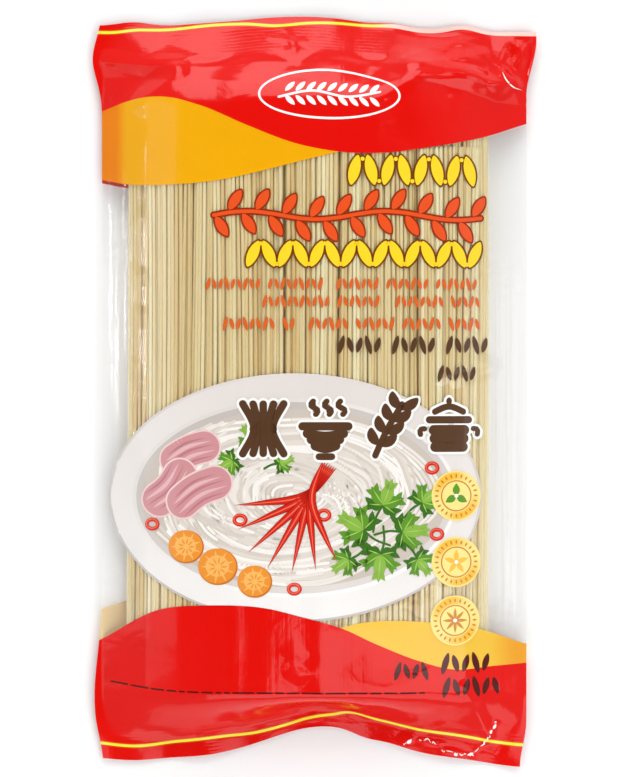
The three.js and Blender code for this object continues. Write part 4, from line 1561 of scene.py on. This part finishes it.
class VERMICELLI_OT_plate(bpy.types.Operator):
    """Prints the plate of noodles with its leaves, slices, rings and strips."""

    bl_idname = "vermicelli.plate"
    bl_label = "Plate Picture"

    def execute(self, context):
        art = Print(lambda x: through(FOOT_RED_STARTS, x) + 0.1)
        plate_base(art)
        plate_noodles(art, np.random.default_rng(PLATE.seed))
        for number, piece in enumerate(SLICES):
            rosy_slice(art, *piece, SLICE_LEVEL + SLICE_STEP * number)
        for disc in DISCS:
            carrot_disc(art, *disc)
        for number, piece in enumerate(LEAVES):
            leaf(art, *piece, LEAF_LEVEL + LEAF_STEP * (number % 7))
        red_strips(art)
        size = (RED_RING.radius_x, RED_RING.radius_y)
        shift = RED_RING.shine_shift
        for x, along in RED_RINGS:
            art.ring(x, along, *size, RED_RING.half, INK.chili, RED_RING.level)
            art.ring(x - shift, along + shift, *size, RED_RING.shine, INK.bright_chili, RED_RING.level + 0.2)
        art.finish("plate_picture")
        return {"FINISHED"}


EMBLEM = Sizes(x=6.2, along=120.0, radius_x=28.5, radius_y=9.5, line=0.45, grains=9, first=16, step=4.3,
               out=2.7, long=5.2, wide=2.0, turn=42, stem=((-21, -1.5), (-7, 1.0), (7, -1.0), (21, 1.5)))


class VERMICELLI_OT_emblem(bpy.types.Operator):
    """Prints the plain white oval with an ear of rice at the head."""

    bl_idname = "vermicelli.emblem"
    bl_label = "Head Emblem"

    def execute(self, context):
        art = Print()
        x, along = EMBLEM.x, EMBLEM.along
        art.ring(x, along, EMBLEM.radius_x, EMBLEM.radius_y, EMBLEM.line, INK.white, 1)
        art.ribbon(np.array(EMBLEM.stem) + [x, along], EMBLEM.line, INK.white, 1)
        for number in range(EMBLEM.grains):
            for side in (-1, 1):
                art.spot(x - EMBLEM.first + EMBLEM.step * number, along + side * EMBLEM.out, EMBLEM.long,
                         EMBLEM.wide, side * EMBLEM.turn, INK.white, 1, grain_shape)
        art.finish("head_emblem")
        return {"FINISHED"}


# Sizes of the short white painted highlights laid along the sharpest creases.
CREASE_GLINTS = Sizes(creases=5, bit=1.5, bits=(0.3, 2.2), gap=0.38, gaps=(0.0, 2.2), half=0.46, halves=(0.35, 1.65),
             edge=0.7, bend=0.4, seed=29)
# The crest of the bubble's edge at the head's right corner, which gets a thin painted highlight.
BUBBLE_EDGE_GLINT = ((77.4, 131.8), (79.2, 128.0), (82.0, 125.6), (86.0, 124.6))


class VERMICELLI_OT_painted_crease_glints(bpy.types.Operator):
    """Paints short white highlights along the sharpest creases and the bubble's edge, where they catch light.
    """

    bl_idname = "vermicelli.worn_creases"
    bl_label = "Painted Crease Glints"

    def execute(self, context):
        art = Print()
        random = np.random.default_rng(CREASE_GLINTS.seed)
        edge = np.array(BUBBLE_EDGE_GLINT)
        edge[:, 1] = before_gathering(*edge.T)
        art.ribbon(edge, CREASE_GLINTS.half * CREASE_GLINTS.edge, INK.white, 0, leaf_shape)
        # Short white bits along the first wrinkles: painted glints where the creases catch light.
        for x0, y0, x1, y1, *_ in WRINKLES[:CREASE_GLINTS.creases]:
            points = smooth_line(((x0, y0), (x1, y1)))
            length = run_lengths(points)
            start = 0.0
            while start < length[-1]:
                end = start + CREASE_GLINTS.bit * random.uniform(*CREASE_GLINTS.bits)
                bit = points_at(points, length, np.linspace(start, min(end, length[-1]), 3))
                bit[1] += random.normal(0.0, CREASE_GLINTS.bend, 2)
                bit[:, 1] = before_gathering(*bit.T)
                art.ribbon(bit, CREASE_GLINTS.half * random.uniform(*CREASE_GLINTS.halves), INK.white, 0, leaf_shape)
                start = end + CREASE_GLINTS.gap * random.uniform(*CREASE_GLINTS.gaps)
        art.finish("worn_creases")
        return {"FINISHED"}


# ---- Stage ----

CAMERA_X = -1.9 * MM
CAMERA_Y = 1.4 * MM
SENSOR = 36.0
FLOOR_HALF = 3.0
FLOOR_DROP = 0.0001
SKY = Sizes(strength=0.55, dim_from=0.7, dim_to=0.95, zenith=0.1)
# Soft lights: name, place, width, height, strength, and whether it is aimed at the bag.
LIGHTS = (
    ("head_box", (-0.10, 1.15, 0.70), 0.75, 1.05, 3.8, True),
    ("foot_box", (0.25, -1.10, 0.75), 1.3, 0.8, 2.0, True),
    ("left_box", (-1.30, -0.05, 0.33), 0.35, 1.0, 1.1, True),
    ("high_left_box", (-1.05, 0.0, 0.85), 0.8, 0.8, 0.9, True),
    ("left_line", (-1.25, 0.085, 0.466), 0.17, 0.03, 38.0, True),
    ("low_right_box", (1.2, -0.05, 0.66), 0.3, 0.35, 1.2, True),
    ("strip_box", (0.93, -0.41, 1.3), 1.9, 0.46, 2.8, False),
    ("right_box", (0.75, 0.95, 1.10), 0.55, 0.55, 2.5, True),
    ("high_spark", (0.33, 0.33, 1.08), 0.05, 0.05, 45.0, True),
)


def soft_box(name, place, width, height, strength, aimed):
    """A soft light, aimed at the bag or straight down. A strength of 1 is as bright as a lit card."""
    light = bpy.data.lights.new(name, "AREA")
    light.shape = "RECTANGLE"
    light.size = width
    light.size_y = height
    light.energy = strength * math.pi * width * height
    lamp = bpy.data.objects.new(name, light)
    bpy.context.scene.collection.objects.link(lamp)
    lamp.location = place
    if aimed:
        lamp.rotation_euler = (-Vector(place)).to_track_quat("-Z", "Y").to_euler()


def sky(strength):
    """A dim room that is darkest straight above, where the camera stands."""
    world = bpy.data.worlds.new("studio")
    world.use_nodes = True
    tree = world.node_tree
    tree.nodes.clear()
    place = add_node(tree, "ShaderNodeTexCoord", {})["Generated"]
    up = add_node(tree, "ShaderNodeSeparateXYZ", {0: place})[2]
    dim = map_range(tree, up, SKY.dim_from, SKY.dim_to, strength, SKY.zenith * strength)
    background = add_node(tree, "ShaderNodeBackground", {"Color": (1.0, 1.0, 1.0, 1.0), "Strength": dim})[0]
    tree.links.new(background, tree.nodes.new("ShaderNodeOutputWorld").inputs["Surface"])
    bpy.context.scene.world = world


def floor_material(colour):
    material, tree, surface = new_material("pale_floor")
    place = add_node(tree, "ShaderNodeTexCoord", {})["Object"]
    cloud = plus(tree, times(tree, noise(tree, place, 3.0), 0.01), 0.995)
    paper = add_node(tree, "ShaderNodeBsdfPrincipled", {
        "Base Color": brighten(tree, tuple(colour), cloud), "Roughness": 0.8, "Specular IOR Level": 0.1})[0]
    tree.links.new(paper, surface)
    return material


class VERMICELLI_OT_stage(bpy.types.Operator):
    """Makes the pale floor, the soft light and the camera that looks straight down."""

    bl_idname = "vermicelli.stage"
    bl_label = "Stage"

    def execute(self, context):
        stage = context.scene.vermicelli_stage
        camera = bpy.data.cameras.new("camera")
        camera.lens = stage.lens
        camera.sensor_width = SENSOR
        viewer = bpy.data.objects.new("camera", camera)
        viewer.location = (CAMERA_X, CAMERA_Y, stage.view_length * stage.lens / SENSOR + BAG.crease * MM)
        context.scene.collection.objects.link(viewer)
        context.scene.camera = viewer
        half = FLOOR_HALF
        mesh = bpy.data.meshes.new("floor")
        mesh.from_pydata([(-half, -half, 0), (half, -half, 0), (half, half, 0), (-half, half, 0)], [],
                         [(0, 1, 2, 3)])
        mesh.materials.append(floor_material(stage.floor))
        floor = bpy.data.objects.new("floor", mesh)
        floor.location.z = -FLOOR_DROP
        context.scene.collection.objects.link(floor)
        for name, place, width, height, strength, aimed in LIGHTS:
            soft_box(name, place, width, height, strength * stage.light, aimed)
        sky(SKY.strength * stage.light)
        context.scene.view_settings.view_transform = "Standard"
        context.scene.view_settings.look = "None"
        return {"FINISHED"}


# ---- Panel and registration ----

STEPS = (VERMICELLI_OT_stage, VERMICELLI_OT_sticks, VERMICELLI_OT_film, VERMICELLI_OT_seam,
         VERMICELLI_OT_titles, VERMICELLI_OT_small_rows, VERMICELLI_OT_plate, VERMICELLI_OT_icons,
         VERMICELLI_OT_medals, VERMICELLI_OT_emblem, VERMICELLI_OT_painted_crease_glints)
SETTINGS = {"vermicelli_bag": VermicelliBagSettings, "vermicelli_sticks": VermicelliStickSettings,
            "vermicelli_stage": VermicelliStageSettings}


class VERMICELLI_PT_panel(bpy.types.Panel):
    """Lists the steps that dress the bag."""

    bl_idname = "VERMICELLI_PT_panel"
    bl_label = "Rice Vermicelli Bag"
    bl_space_type = "VIEW_3D"
    bl_region_type = "UI"
    bl_category = "Vermicelli"

    def draw(self, context):
        for step in STEPS:
            self.layout.operator(step.bl_idname)


def register():
    for kind in (*SETTINGS.values(), *STEPS, VERMICELLI_PT_panel):
        bpy.utils.register_class(kind)
    for name, kind in SETTINGS.items():
        setattr(bpy.types.Scene, name, PointerProperty(type=kind))


def unregister():
    for name in SETTINGS:
        delattr(bpy.types.Scene, name)
    for kind in (VERMICELLI_PT_panel, *reversed(STEPS), *reversed(tuple(SETTINGS.values()))):
        bpy.utils.unregister_class(kind)


def main():
    register()
    bpy.ops.vermicelli.stage()
    bpy.ops.vermicelli.sticks()
    bpy.ops.vermicelli.film()
    bpy.ops.vermicelli.seam()
    bpy.ops.vermicelli.titles()
    bpy.ops.vermicelli.small_rows()
    bpy.ops.vermicelli.plate()
    bpy.ops.vermicelli.icons()
    bpy.ops.vermicelli.medals()
    bpy.ops.vermicelli.emblem()
    bpy.ops.vermicelli.worn_creases()


if __name__ == "__main__":
    main()
